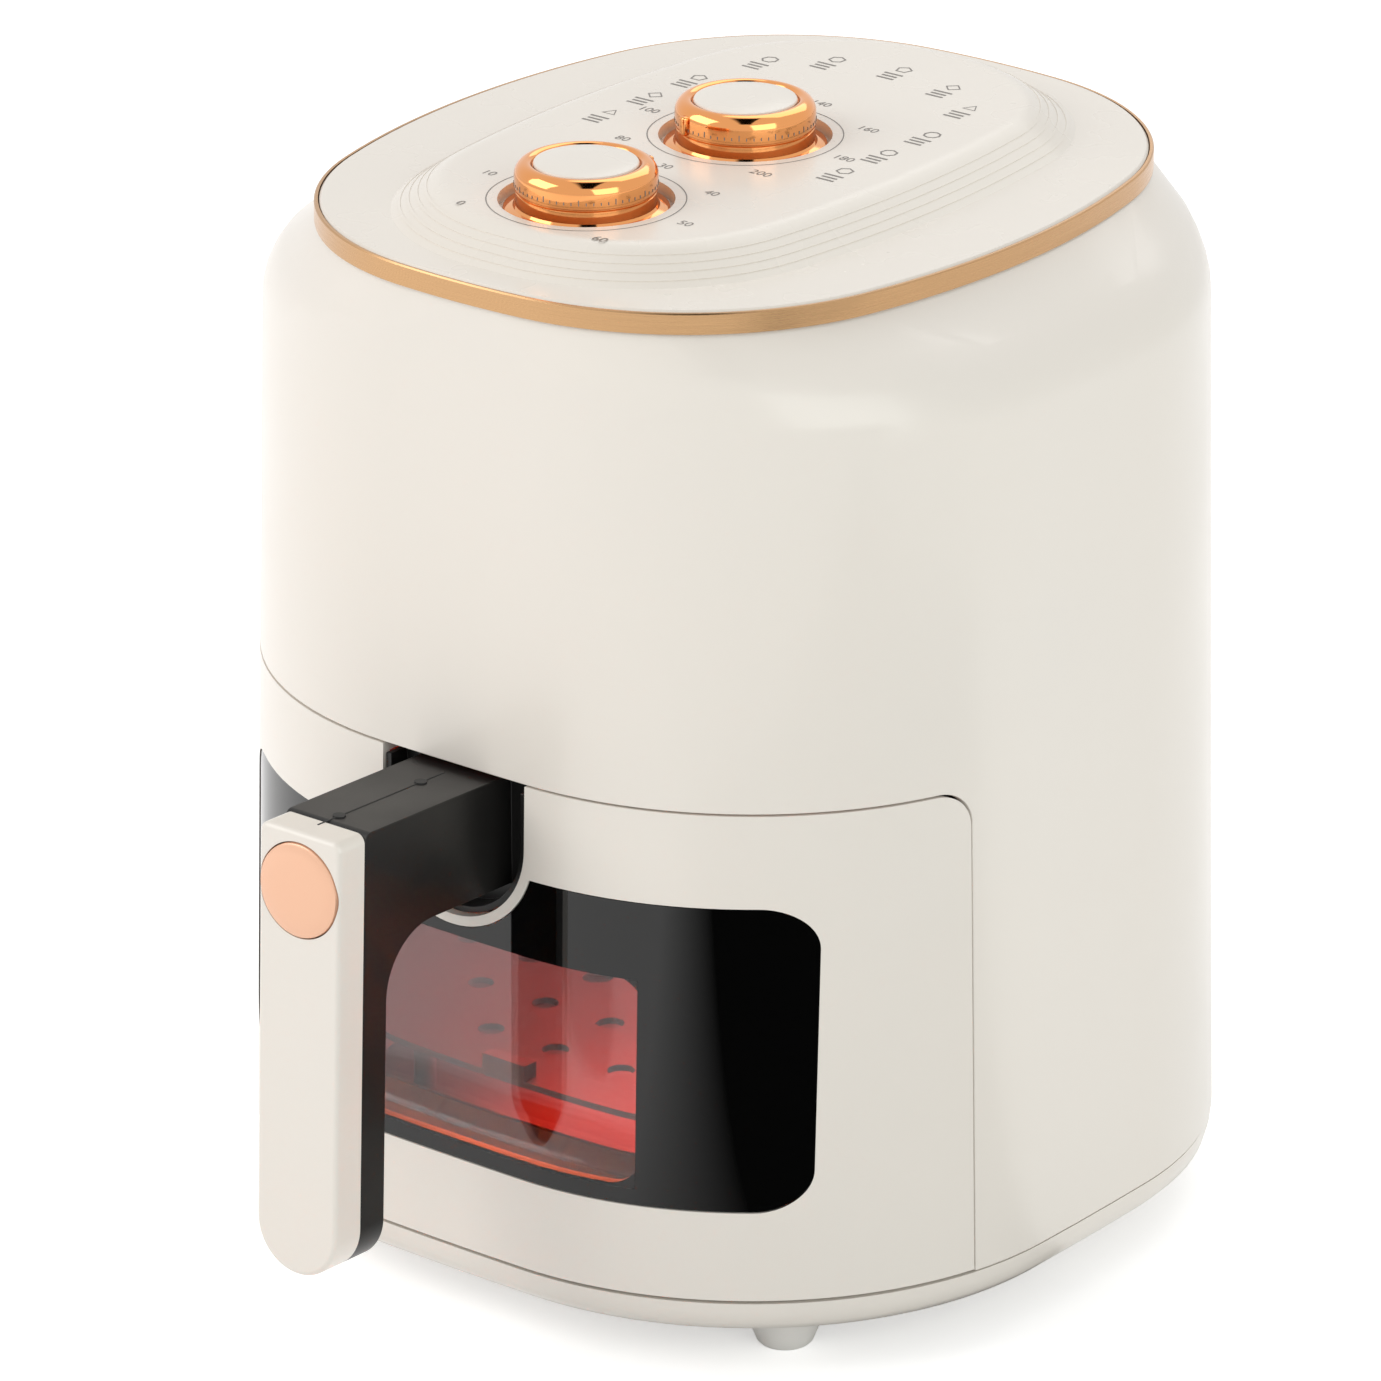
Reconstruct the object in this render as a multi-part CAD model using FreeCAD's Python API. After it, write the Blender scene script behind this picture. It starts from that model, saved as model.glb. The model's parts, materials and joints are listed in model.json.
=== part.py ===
import FreeCAD, Part
import math
import os

V = FreeCAD.Vector

# Driving sizes in millimetres. X is right, the handle faces -Y, Z is up from the table.
body_width = 272.0
body_taper = 6.0
body_corner_radius = 111.0
body_side_radius = 1300.0
base_seam_z = 24.0
shoulder_z = 294.0
shoulder_bend = 9.0
shoulder_steps = 4
rim_z = 316.0
wall = 2.6
gap = 0.6
slip = 0.35

# Top panel, its metal band and the raised field that carries the knobs.
lid_side_margin = 31.0
lid_end_margin = 8.0
lid_width = body_width - 2 * lid_side_margin
lid_depth = body_width - 2 * lid_end_margin
lid_side_radius = 262.0
lid_corner_radius = 84.0
band_height = 6.2
band_thickness = 1.2
field_rise = 9.0
field_side_margin = 31.0
field_end_margin = 12.0
field_width = lid_width - 2 * field_side_margin
field_depth = lid_depth - 2 * field_end_margin
field_slope = 15.0
field_corner_margin = 8.0
field_corner_radius = field_width / 2 - field_corner_margin
field_side_radius = 420.0
panel_thickness = 3.0
well_radius = 25.6
well_depth = 3.5
knob_front_margin = 45.7
knob_spacing = 74.0
knob_front_y = knob_front_margin - field_depth / 2
knob_rear_y = knob_front_y + knob_spacing
knob_radius = 20.8
knob_height = 11.8
knob_cap_radius = 15.3
shaft_radius = 3.0

# Base cover and feet.
base_bottom_z = 12.6
base_round = 8.0
foot_inset = 50.0
foot_place = body_width / 2 - foot_inset
foot_radius = 12.5
foot_tip_radius = 8.5
post_x = 78.0
post_front_y = -30.0
post_rear_y = 66.0

# Drawer front, its window and the pocket behind the handle.
drawer_wrap = 82.0
drawer_edge_y = drawer_wrap - body_width / 2
drawer_top_z = 176.4
drawer_corner = 11.0
drawer_wall = 3.0
window_half = 106.0
window_low_z = 52.7
window_high_z = 147.0
window_corner = 13.0
glass_thickness = 3.2
clear_half = 63.0
clear_low_z = 57.5
clear_high_z = 123.0
pocket_half = 26.5
pocket_low_z = 129.5
notch_rim = 3.4
frame_thickness = 2.6

# Handle.
handle_stand = 65.0
handle_front_y = -body_width / 2 - handle_stand
handle_width = 30.0
cover_depth = 11.0
grip_depth = 21.5
handle_low_z = 37.5
handle_high_z = 174.2
handle_lean = 2.2
handle_pivot_z = 158.0
arm_low_z = 140.0
arm_blend = 20.0
tray_depth = 7.0
tray_wall = 2.0
tray_setback = 14.4
tray_back_y = tray_setback - body_width / 2
button_radius = 14.2
button_z = 156.6
button_proud = 2.5
button_travel = 3.0
button_depth = 7.0
cover_soft = 1.6

# Pan and crisper plate.
pan_setback = 18.0
pan_rear_room = 44.0
pan_side_room = 33.0
pan_half_width = body_width / 2 - pan_side_room
pan_half_depth = (body_width - pan_setback - pan_rear_room) / 2
pan_centre_y = pan_setback - body_width / 2 + pan_half_depth
pan_corner_radius = 66.0
pan_side_radius = 600.0
pan_low_z = 34.0
pan_high_z = 158.0
pan_wall = 1.6
pan_draft = 5.0
pan_lip = 3.0
plate_z = 68.0
plate_thickness = 2.0
plate_hole_radius = 4.0
plate_hole_pitch = 24.0

# Cooking chamber, heater, fans and motor.
chamber_side_gap = 8.2
chamber_front_gap = 6.0
chamber_rear_gap = 12.0
chamber_half = pan_half_width + chamber_side_gap
chamber_front_y = pan_centre_y - pan_half_depth + chamber_front_gap
chamber_back_y = pan_centre_y + pan_half_depth + chamber_rear_gap
chamber_sheet = 1.2
chamber_low_z = 30.0
chamber_lip_z = 179.0
chamber_high_z = 200.0
dome_margin = 11.2
cutout_inset = 24.0
dome_radius = chamber_half - dome_margin
dome_high_z = 236.0
fan_y = -6.0
coil_z = 209.0
coil_tube_radius = 3.2
coil_margin = 66.0
coil_inner_radius = dome_radius - coil_margin
coil_pitch = 17.0
coil_half_turns = 6
fan_margin = 26.0
fan_radius = dome_radius - fan_margin
fan_low_z = 219.0
cooler_low_z = 242.0
cooler_radius = 58.0
bridge_z = 256.0
motor_high_z = 284.0
control_depth = 25.0
bracket_z = 316.0
bracket_sheet = 1.6

# Rear openings.
vent_half = 56.0
vent_low_z = 214.0
vent_high_z = 274.0
vent_slots = 8
gland_x = 0.0
gland_z = 50.0
gland_radius = 8.0

outer_y = -body_width / 2 - 24
button_front_y = handle_front_y - button_proud
lean_angle = math.radians(handle_lean)
handle_reach = (tray_back_y - handle_front_y) * math.cos(lean_angle)
handle_kick = (handle_pivot_z - handle_low_z - cover_soft) * math.sin(lean_angle)
handle_tip_y = tray_back_y - handle_reach - handle_kick
centre_shift = -(handle_tip_y + body_width / 2) / 2
lid_top_z = rim_z + band_height
field_top_z = lid_top_z + field_rise
knob_bottom_z = field_top_z - well_depth + slip
grip_back_y = handle_front_y + grip_depth
cover_back_y = handle_front_y + cover_depth


def xy(a, b):
    return V(a, b, 0)


def xz(a, b):
    return V(a, 0, b)


def yz(a, b):
    return V(0, a, b)


def rounded_wire(corners, place):
    """Closed wire through corners (a, b, radius) with a tangent arc at each rounded corner."""
    count = len(corners)
    spans = []
    for index in range(count):
        a, b, radius = corners[index]
        here = V(a, b, 0)
        before = corners[index - 1]
        after = corners[(index + 1) % count]
        back = (V(before[0], before[1], 0) - here).normalize()
        ahead = (V(after[0], after[1], 0) - here).normalize()
        if radius == 0:
            spans.append((here, None, here))
            continue
        half = back.getAngle(ahead) / 2
        reach = radius / math.tan(half)
        middle = (back + ahead).normalize()
        top = here + middle * (radius / math.sin(half) - radius)
        spans.append((here + back * reach, top, here + ahead * reach))
    edges = []
    for index in range(count):
        start, top, end = [None if p is None else place(p.x, p.y) for p in spans[index]]
        if top is not None:
            edges.append(Part.Arc(start, top, end).toShape())
        following = spans[(index + 1) % count][0]
        following = place(following.x, following.y)
        if end.distanceToPoint(following) > 1e-6:
            edges.append(Part.LineSegment(end, following).toShape())
    return Part.Wire(edges)


def prism(corners, place, start, depth):
    """Solid from a rounded outline, moved by start and pulled along depth."""
    solid = Part.Face(rounded_wire(corners, place)).extrude(depth)
    return solid.translated(start)


def rectangle(a0, b0, a1, b1, radius):
    return [(a0, b0, radius), (a1, b0, radius), (a1, b1, radius), (a0, b1, radius)]


def bowed(width, depth, side_radius, corner_radius, inset, z, centre_y=0.0):
    """Outline of four slightly bowed sides and four corner arcs, drawn in by inset."""
    side_x = V(width / 2 - side_radius, 0, 0)
    side_y = V(0, depth / 2 - side_radius, 0)
    reach = side_radius - corner_radius
    middle = (side_x + side_y) * 0.5
    across = side_x - side_y
    toward = V(across.y, -across.x, 0).normalize()
    if toward.x < 0:
        toward = toward * -1
    corner = middle + toward * math.sqrt(reach * reach - across.Length * across.Length / 4)
    out_x = (corner - side_x).normalize()
    out_y = (corner - side_y).normalize()
    first = corner + out_x * (corner_radius - inset)
    second = corner + out_y * (corner_radius - inset)
    bend = corner + (out_x + out_y).normalize() * (corner_radius - inset)

    def at(point, sign_x, sign_y):
        return V(point.x * sign_x, point.y * sign_y + centre_y, z)

    end_x = V(width / 2 - inset, 0, 0)
    end_y = V(0, depth / 2 - inset, 0)
    paths = [
        (at(first, 1, -1), at(end_x, 1, 1), at(first, 1, 1)),
        (at(first, 1, 1), at(bend, 1, 1), at(second, 1, 1)),
        (at(second, 1, 1), at(end_y, 1, 1), at(second, -1, 1)),
        (at(second, -1, 1), at(bend, -1, 1), at(first, -1, 1)),
        (at(first, -1, 1), at(end_x, -1, 1), at(first, -1, -1)),
        (at(first, -1, -1), at(bend, -1, -1), at(second, -1, -1)),
        (at(second, -1, -1), at(end_y, 1, -1), at(second, 1, -1)),
        (at(second, 1, -1), at(bend, 1, -1), at(first, 1, -1)),
    ]
    return Part.Wire([Part.Arc(a, b, c).toShape() for a, b, c in paths])


def body_outline(inset, z):
    return bowed(body_width, body_width, body_side_radius, body_corner_radius, inset, z)


def lid_outline(inset, z):
    return bowed(lid_width, lid_depth, lid_side_radius, lid_corner_radius, inset, z)


def taper_at(z):
    """Inward lean of the side wall at a height."""
    return body_taper * (z - base_seam_z) / (shoulder_z - base_seam_z)


def wall_form(inset, low_z, high_z):
    """Tapered side wall as a full solid, drawn in by inset."""
    low = body_outline(taper_at(low_z) + inset, low_z)
    high = body_outline(taper_at(high_z) + inset, high_z)
    return Part.makeLoft([low, high], True, True)


def shoulder_outline(share, z):
    """Outline part of the way from the wall's top to the rim of the shoulder."""
    lean = body_taper * (1 - share) + band_thickness * share

    def between(start, end):
        return start + (end - start) * share

    width = between(body_width, lid_width)
    depth = between(body_width, lid_depth)
    side = between(body_side_radius, lid_side_radius)
    corner = between(body_corner_radius, lid_corner_radius)
    return bowed(width, depth, side, corner, lean, z)


def shoulder_sections():
    """Levels of the rounded bend between the wall and the slanted shoulder."""
    end_share = shoulder_bend / (rim_z - shoulder_z)
    sections = []
    for step in range(shoulder_steps + 1):
        u = step / shoulder_steps
        z = shoulder_z + shoulder_bend * (u * u - (1 - u) * (1 - u))
        sections.append(shoulder_outline(end_share * u * u, z))
    return sections


def slab(outline_wire, height):
    return Part.Face(outline_wire).extrude(V(0, 0, height))


def cylinder(radius, x, y, low_z, high_z):
    return Part.makeCylinder(radius, high_z - low_z, V(x, y, low_z))


def along_y(radius, x, z, from_y, to_y):
    return Part.makeCylinder(radius, to_y - from_y, V(x, from_y, z), V(0, 1, 0))


def block(x0, y0, z0, x1, y1, z1):
    return Part.makeBox(x1 - x0, y1 - y0, z1 - z0, V(x0, y0, z0))


def revolved(points, x, y):
    """Solid of revolution about a vertical axis from (radius, z) points."""
    wire = Part.makePolygon([V(r, 0, z) for r, z in points + points[:1]])
    return Part.Face(wire).revolve(V(0, 0, 0), V(0, 0, 1), 360).translated(V(x, y, 0))


def edges_at(shape, z):
    """Edges lying wholly in one level plane."""
    return [e for e in shape.Edges if abs(e.BoundBox.ZMin - z) < 0.01 and abs(e.BoundBox.ZMax - z) < 0.01]


def drawer_region(clearance):
    """Space of the drawer front, seen from the side, with its rounded rear top corners."""
    rear = drawer_edge_y - clearance
    top = drawer_top_z - clearance
    low = base_seam_z + clearance
    corners = [(-260, low, 0), (rear, low, 0), (rear, top, drawer_corner), (-260, top, 0)]
    return prism(corners, yz, V(-200, 0, 0), V(400, 0, 0))


def pocket_prism(grow, from_y, to_y):
    """U-shaped column behind the handle root, open at the drawer's top."""
    half = pocket_half + grow
    corners = [(-half, pocket_low_z - grow, half - 0.01), (half, pocket_low_z - grow, half - 0.01)]
    corners += [(half, drawer_top_z + 20, 0), (-half, drawer_top_z + 20, 0)]
    return prism(corners, xz, V(0, from_y, 0), V(0, to_y - from_y, 0))


def window_prism(grow, from_y, to_y):
    """Rounded window with a round notch under the handle root."""
    half = window_half + grow
    rect = rectangle(-half, window_low_z - grow, half, window_high_z + grow, window_corner)
    pane = prism(rect, xz, V(0, from_y, 0), V(0, to_y - from_y, 0))
    return pane.cut(pocket_prism(notch_rim - grow, from_y - 1, to_y + 1))


def housing_shell():
    """Side wall, slanted shoulder and openings of the main housing in one moulding."""
    low = body_outline(0, base_seam_z)
    top = lid_outline(band_thickness, rim_z)
    outer = Part.makeLoft([low] + shoulder_sections() + [top], True, True)
    inner_low = body_outline(wall, base_seam_z)
    inner_mid = body_outline(body_taper + wall, shoulder_z - wall)
    inner_top = lid_outline(band_thickness + wall + 1.4, rim_z)
    inner = Part.makeLoft([inner_low, inner_mid, inner_top], True, True)
    shell = outer.cut(inner)
    shell = shell.cut(drawer_region(0))
    vent = rectangle(-vent_half, vent_low_z, vent_half, vent_high_z, 10)
    shell = shell.cut(prism(vent, xz, V(0, 60, 0), V(0, 100, 0)))
    return shell.cut(along_y(gland_radius + slip, gland_x, gland_z, 60, 160))


def rear_vent_grille():
    """Louvred cover that fills the rear air outlet and follows the back wall."""
    rect = rectangle(-vent_half + slip, vent_low_z + slip, vent_half - slip, vent_high_z - slip, 10 - slip)
    cover = wall_form(0.4, vent_low_z, vent_high_z).cut(wall_form(wall, vent_low_z - 1, vent_high_z + 1))
    cover = cover.common(prism(rect, xz, V(0, 60, 0), V(0, 100, 0)))
    pitch = (vent_high_z - vent_low_z - 10) / vent_slots
    for row in range(vent_slots):
        z = vent_low_z + 5 + pitch * (row + 0.5)
        for side in (-1, 1):
            low, high = sorted((side * 3.0, side * (vent_half - 7)))
            slot = rectangle(low, z - pitch * 0.28, high, z + pitch * 0.28, pitch * 0.28 - 0.01)
            cover = cover.cut(prism(slot, xz, V(0, 60, 0), V(0, 100, 0)))
    return cover


def cord_gland():
    """Stepped bush where a supply lead enters at the back."""
    back = body_width / 2
    bush = along_y(gland_radius, gland_x, gland_z, back - 10, back)
    collar = along_y(gland_radius + 3, gland_x, gland_z, back - 8, back - 3.9)
    return bush.fuse(collar).cut(along_y(3.4, gland_x, gland_z, back - 20, back + 5))


def panel_trim_band():
    """Metal band: an upright rim with a flange that lies under the top panel."""
    rim = slab(lid_outline(0, rim_z), band_height)
    inside = slab(lid_outline(band_thickness, rim_z + 1.2), band_height)
    opening = slab(lid_outline(6.0, rim_z - 1), band_height)
    band = rim.cut(inside).cut(opening)
    return band.makeChamfer(0.4, edges_at(band, lid_top_z)[:8])


def field_form(inset, drop):
    """Raised field of the top panel as a solid, sloping in from foot to top."""
    foot = bowed(field_width, field_depth, field_side_radius, field_corner_radius, inset, lid_top_z - drop)
    sections = [foot]
    for share, below in ((0.74, 1.7), (0.88, 0.6), (1.0, 0.12), (1.12, 0)):
        level = field_top_z - drop - below
        extra = inset + field_slope * share
        sections.append(bowed(field_width, field_depth, field_side_radius, field_corner_radius, extra, level))
    return Part.makeLoft(sections, True, True)


def top_panel():
    """Crowned control panel with two wells for the knobs and posts for the control bracket."""
    edge = band_thickness + slip
    plate = slab(lid_outline(edge, rim_z + 1.4), band_height - 1.0)
    plate = plate.makeChamfer(0.7, edges_at(plate, lid_top_z + 0.4))
    panel = plate.fuse(field_form(0, -0.4))
    under = slab(lid_outline(edge + 5.0, rim_z - 1), band_height + 1 - panel_thickness)
    panel = panel.cut(under).cut(field_form(2.0, panel_thickness))
    for y in (knob_front_y, knob_rear_y):
        boss = cylinder(well_radius + 2.2, 0, y, field_top_z - well_depth - panel_thickness, field_top_z - 2)
        panel = panel.fuse(boss)
        panel = panel.cut(cylinder(well_radius, 0, y, field_top_z - well_depth, field_top_z + 5))
        panel = panel.cut(cylinder(shaft_radius + 2.2, 0, y, rim_z, field_top_z))
    low = bracket_z + bracket_sheet
    for x, y in bracket_posts():
        panel = panel.fuse(cylinder(3.5, x, y, low, field_top_z - 2.0))
    return panel.removeSplitter()


def bracket_posts():
    return [(x, y) for x in (-34, 34) for y in (knob_front_y + 6, knob_rear_y + 24)]


def control_bracket():
    """Folded steel plate under the panel that carries the timer and the thermostat."""
    rear = knob_rear_y + 32
    front = knob_front_y - 24
    plate = block(-40, front, bracket_z, 40, rear, bracket_z + bracket_sheet)
    for side in (-1, 1):
        flange = block(-40, front, bracket_z - 8, -40 + bracket_sheet, rear, bracket_z)
        plate = plate.fuse(flange if side < 0 else flange.mirror(V(0, 0, 0), V(1, 0, 0)))
    for y in (knob_front_y, knob_rear_y):
        plate = plate.cut(cylinder(shaft_radius + 2.0, 0, y, bracket_z - 1, bracket_z + 5))
    for x, y in bracket_posts():
        plate = plate.cut(cylinder(1.6, x, y, bracket_z - 1, bracket_z + 5))
    return plate


def timer():
    """Square clockwork case with a bell dome below it."""
    low = bracket_z - control_depth
    case = block(-22, knob_front_y - 22, low + 6, 22, knob_front_y + 22, bracket_z)
    case = case.makeFillet(3, [e for e in case.Edges if e.Length < control_depth])
    bell = revolved([(0, low), (13, low), (16, low + 2), (16, low + 6), (0, low + 6)], 0, knob_front_y)
    bore = cylinder(shaft_radius + 0.5, 0, knob_front_y, bracket_z - 12, bracket_z + 1)
    return case.fuse(bell).cut(bore)


def thermostat():
    """Round ceramic thermostat body with two terminal blades."""
    low = bracket_z - control_depth
    profile = [(0, low + 4), (17, low + 4), (19, low + 6), (19, bracket_z - 4), (15, bracket_z), (0, bracket_z)]
    body = revolved(profile, 0, knob_rear_y)
    for x in (-9, 9):
        body = body.fuse(block(x - 3, knob_rear_y + 15, low + 8, x + 3, knob_rear_y + 27, low + 9))
    return body.cut(cylinder(shaft_radius + 0.5, 0, knob_rear_y, bracket_z - 12, bracket_z + 1))


def knob(y, pointer_turn):
    """Hollow knob: skirt in the well, straight grip, rounded top rim and one pointer rib."""
    low = knob_bottom_z
    top = field_top_z + knob_height
    skirt = knob_radius + 3.4
    profile = [(shaft_radius, low + 5.6), (skirt - 5, low + 1.6), (skirt - 2, low), (skirt, low)]
    profile += [(skirt, low + 1.2), (knob_radius - 0.6, low + 1.6), (knob_radius - 0.6, field_top_z + 2.6)]
    profile += [(knob_radius, field_top_z + 3.2), (knob_radius, top - 3.4), (knob_radius - 0.9, top - 1.3)]
    profile += [(knob_radius - 2.8, top - 0.2), (knob_radius - 4.4, top), (knob_cap_radius + 0.3, top - 0.5)]
    profile += [(knob_cap_radius + 0.3, top - 2.0), (shaft_radius, top - 2.0)]
    form = revolved(profile, 0, 0)
    rib = block(-1.3, knob_radius - 3, field_top_z + 3.4, 1.3, knob_radius + 1.5, top - 1.6)
    rib = rib.makeFillet(0.9, [e for e in rib.Edges if e.Length > knob_height - 6])
    form = form.fuse(rib)
    form = form.rotated(V(0, 0, 0), V(0, 0, 1), pointer_turn)
    return form.translated(V(0, y, 0))


def knob_cap(y):
    """Plain disc let into a knob's top."""
    top = field_top_z + knob_height
    radius = knob_cap_radius
    profile = [(0, top - 2.0), (radius, top - 2.0), (radius, top - 0.4), (radius - 0.7, top + 0.1), (0, top + 0.3)]
    return revolved(profile, 0, y)


def knob_shaft(y):
    """Turning shaft between a control and its knob."""
    return cylinder(shaft_radius, 0, y, bracket_z - 11, field_top_z + knob_height - 2.0)


def base_cover():
    """Tray that closes the bottom, with a rounded edge, locating lip, posts and air slots."""
    top = base_seam_z - gap
    sections = []
    for step in range(4):
        bend = math.radians(30 * step)
        inset = 0.4 + base_round * (1 - math.sin(bend))
        sections.append(body_outline(inset, base_bottom_z + base_round * (1 - math.cos(bend))))
    sections.append(body_outline(0.4, top))
    outer = Part.makeLoft(sections, True, True)
    inner = slab(body_outline(base_round + 2, base_bottom_z + 2.6), 40)
    step = slab(body_outline(wall + slip + 2, base_seam_z - 4), 20)
    tray = outer.cut(inner).cut(step)
    lip = slab(body_outline(wall + slip, base_seam_z - 4.5), 9.5)
    lip = lip.cut(slab(body_outline(wall + slip + 2, base_seam_z - 5), 20))
    notch = block(-160, -200, base_seam_z - gap, 160, drawer_edge_y + 2, base_seam_z + 20)
    tray = tray.fuse(lip.cut(notch))
    for x, y in posts():
        tray = tray.fuse(cylinder(7, x, y, base_bottom_z + 1, chamber_low_z))
        tray = tray.cut(cylinder(2.4, x, y, base_bottom_z - 1, chamber_low_z + 1))
        tray = tray.cut(cylinder(5.0, x, y, base_bottom_z - 1, base_bottom_z + 5))
    for x, y in foot_places():
        tray = tray.cut(cylinder(4.4, x, y, base_bottom_z - 1, base_bottom_z + 8))
    for row in range(-3, 4):
        slot = rectangle(-34, row * 11 + 16, 34, row * 11 + 20, 1.99)
        tray = tray.cut(prism(slot, xy, V(0, 0, base_bottom_z - 1), V(0, 0, 8)))
    return tray


def posts():
    return [(x, y) for x in (-post_x, post_x) for y in (post_front_y, post_rear_y)]


def foot_places():
    return [(x, y) for x in (-foot_place, foot_place) for y in (-foot_place, foot_place)]


def feet():
    """Four tapered feet with a stem pressed into the base."""
    forms = []
    low = base_bottom_z
    for x, y in foot_places():
        profile = [(0, 0), (foot_tip_radius - 1, 0), (foot_tip_radius, 1), (foot_radius, low - 1.5)]
        profile += [(foot_radius, low), (4.1, low), (4.1, low + 5), (0, low + 5)]
        forms.append(revolved(profile, x, y))
    return Part.makeCompound(forms)


def base_screws():
    """Four pan-head screws that hold the base to the chamber posts."""
    forms = []
    seat = base_bottom_z + 5
    for x, y in posts():
        profile = [(0, seat - 3), (3, seat - 3), (4, seat - 2), (4, seat), (2, seat)]
        profile += [(2, chamber_low_z - 1), (0, chamber_low_z - 1)]
        forms.append(revolved(profile, x, y))
    return Part.makeCompound(forms)


def chamber_plan(inset, front_y, front_radius):
    half = chamber_half - inset
    back = chamber_back_y - inset
    front = front_radius - inset if front_radius else 0
    return [(-half, front_y, front), (half, front_y, front), (half, back, 50 - inset), (-half, back, 50 - inset)]


def inner_chamber():
    """Folded steel liner: a channel for the pan below and a wider hood above the drawer."""
    sheet = chamber_sheet
    high = chamber_high_z
    hood = prism(chamber_plan(0, chamber_front_y, 62), xy, V(0, 0, chamber_lip_z), V(0, 0, high - chamber_lip_z))
    channel_front = drawer_edge_y + 2
    low = chamber_low_z
    channel = prism(chamber_plan(0, channel_front, 0), xy, V(0, 0, low), V(0, 0, high - low))
    inner_hood = prism(chamber_plan(sheet, chamber_front_y + sheet, 62), xy, V(0, 0, chamber_lip_z - 1),
                       V(0, 0, high - sheet - chamber_lip_z + 1))
    inner_channel = prism(chamber_plan(sheet, channel_front - 5, 0), xy, V(0, 0, low + sheet),
                          V(0, 0, high - low - 2 * sheet))
    liner = hood.fuse(channel).cut(inner_hood).cut(inner_channel)
    return liner.cut(cylinder(dome_radius - 4, 0, fan_y, high - 5, high + 5)).removeSplitter()


def heater_dome():
    """Spun reflector over the heater, with a rolled rim on the chamber and a hole for the shaft."""
    low = chamber_high_z
    top = dome_high_z
    r = dome_radius
    profile = [(r, low), (r, low + 1.2), (r - 5, low + 1.2), (r - 9, top), (8, top), (8, top - 1.2)]
    profile += [(r - 10, top - 1.2), (r - 6.2, low)]
    return revolved(profile, 0, fan_y)


def spiral_points():
    """Half circles of growing radius that join into one flat spiral."""
    arcs = []
    x = coil_inner_radius - coil_pitch / 4
    side = 1
    for turn in range(coil_half_turns):
        radius = coil_inner_radius + coil_pitch * turn / 2
        centre = x - side * radius
        arcs.append((V(x, fan_y, coil_z), V(centre, fan_y + side * radius, coil_z),
                     V(x - side * 2 * radius, fan_y, coil_z)))
        x = x - side * 2 * radius
        side = -side
    return arcs


def heating_element():
    """Sheathed heating tube wound as one flat spiral, with its outer end turned up to the terminal."""
    arcs = spiral_points()
    path = Part.Wire([Part.Arc(a, b, c).toShape() for a, b, c in arcs])
    ring = Part.Wire([Part.makeCircle(coil_tube_radius, arcs[0][0], V(0, 1, 0))])
    sweep = Part.BRepOffsetAPI.MakePipeShell(path)
    sweep.add(ring)
    sweep.build()
    sweep.makeSolid()
    tube = sweep.shape()
    for end in (arcs[0][0], arcs[-1][2]):
        tube = tube.fuse(Part.makeSphere(coil_tube_radius + 0.4, end))
    return tube.fuse(cylinder(coil_tube_radius - 0.4, end.x, end.y, coil_z, dome_high_z - 1.6))


def element_clips():
    """Three hangers that carry the heating tube under the reflector."""
    forms = []
    low = coil_z - coil_tube_radius - 1.6
    for turn in (30, 150, 270):
        reach = dome_radius - 8.6
        strip = block(28, -4, low, reach, 4, low + 1.2)
        leg = block(reach - 1.2, -4, low, reach, 4, dome_high_z - 20)
        form = strip.fuse(leg).rotated(V(0, 0, 0), V(0, 0, 1), turn)
        forms.append(form.translated(V(0, fan_y, 0)))
    return Part.makeCompound(forms)


def bladed_wheel(radius, hub_radius, low, height, blades, disc_below):
    """Fan wheel: hub, back disc and upright blades set at a slant."""
    disc_z = low if disc_below else low + height - 1.0
    wheel = cylinder(hub_radius, 0, 0, low, low + height)
    wheel = wheel.fuse(cylinder(radius * 0.72, 0, 0, disc_z, disc_z + 1.0))
    blade = block(hub_radius - 1, -0.6, low, radius, 0.6, low + height)
    blade = blade.rotated(V(hub_radius, 0, low), V(0, 0, 1), 18)
    for index in range(blades):
        wheel = wheel.fuse(blade.rotated(V(0, 0, 0), V(0, 0, 1), 360.0 * index / blades))
    wheel = wheel.cut(cylinder(shaft_radius, 0, 0, low - 1, low + height + 1))
    return wheel.translated(V(0, fan_y, 0))


def motor_shaft():
    return cylinder(shaft_radius, 0, fan_y, fan_low_z - 2, motor_high_z + 2)


def motor():
    """Shaded-pole motor: laminated block, two bearing caps and a coil bobbin at one side."""
    low = bridge_z + 2
    core = block(-31, fan_y - 28, low + 7, 31, fan_y + 28, motor_high_z - 7)
    core = core.makeFillet(6, [e for e in core.Edges if abs(e.BoundBox.ZLength) > 5])
    caps = revolved([(0, low), (20, low), (22, low + 7), (22, motor_high_z - 7), (12, motor_high_z), (0, motor_high_z)],
                    0, fan_y)
    bobbin = block(-15, fan_y + 28, low + 5, 15, fan_y + 42, motor_high_z - 5)
    bobbin = bobbin.makeFillet(3, bobbin.Edges)
    bore = cylinder(shaft_radius + slip, 0, fan_y, low - 1, motor_high_z + 1)
    return core.fuse(caps).fuse(bobbin).cut(bore)


def motor_bridge():
    """Bent steel bridge that stands on the reflector and carries the motor."""
    sheet = 2.0
    plate = block(-78, fan_y - 16, bridge_z, 78, fan_y + 16, bridge_z + sheet)
    for side in (-1, 1):
        leg = block(76, fan_y - 16, dome_high_z, 78, fan_y + 16, bridge_z)
        foot = block(76, fan_y - 16, dome_high_z, 86, fan_y + 16, dome_high_z + sheet)
        bent = leg.fuse(foot)
        plate = plate.fuse(bent if side > 0 else bent.mirror(V(0, 0, 0), V(1, 0, 0)))
    return plate.cut(cylinder(9, 0, fan_y, bridge_z - 1, bridge_z + 5))


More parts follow.
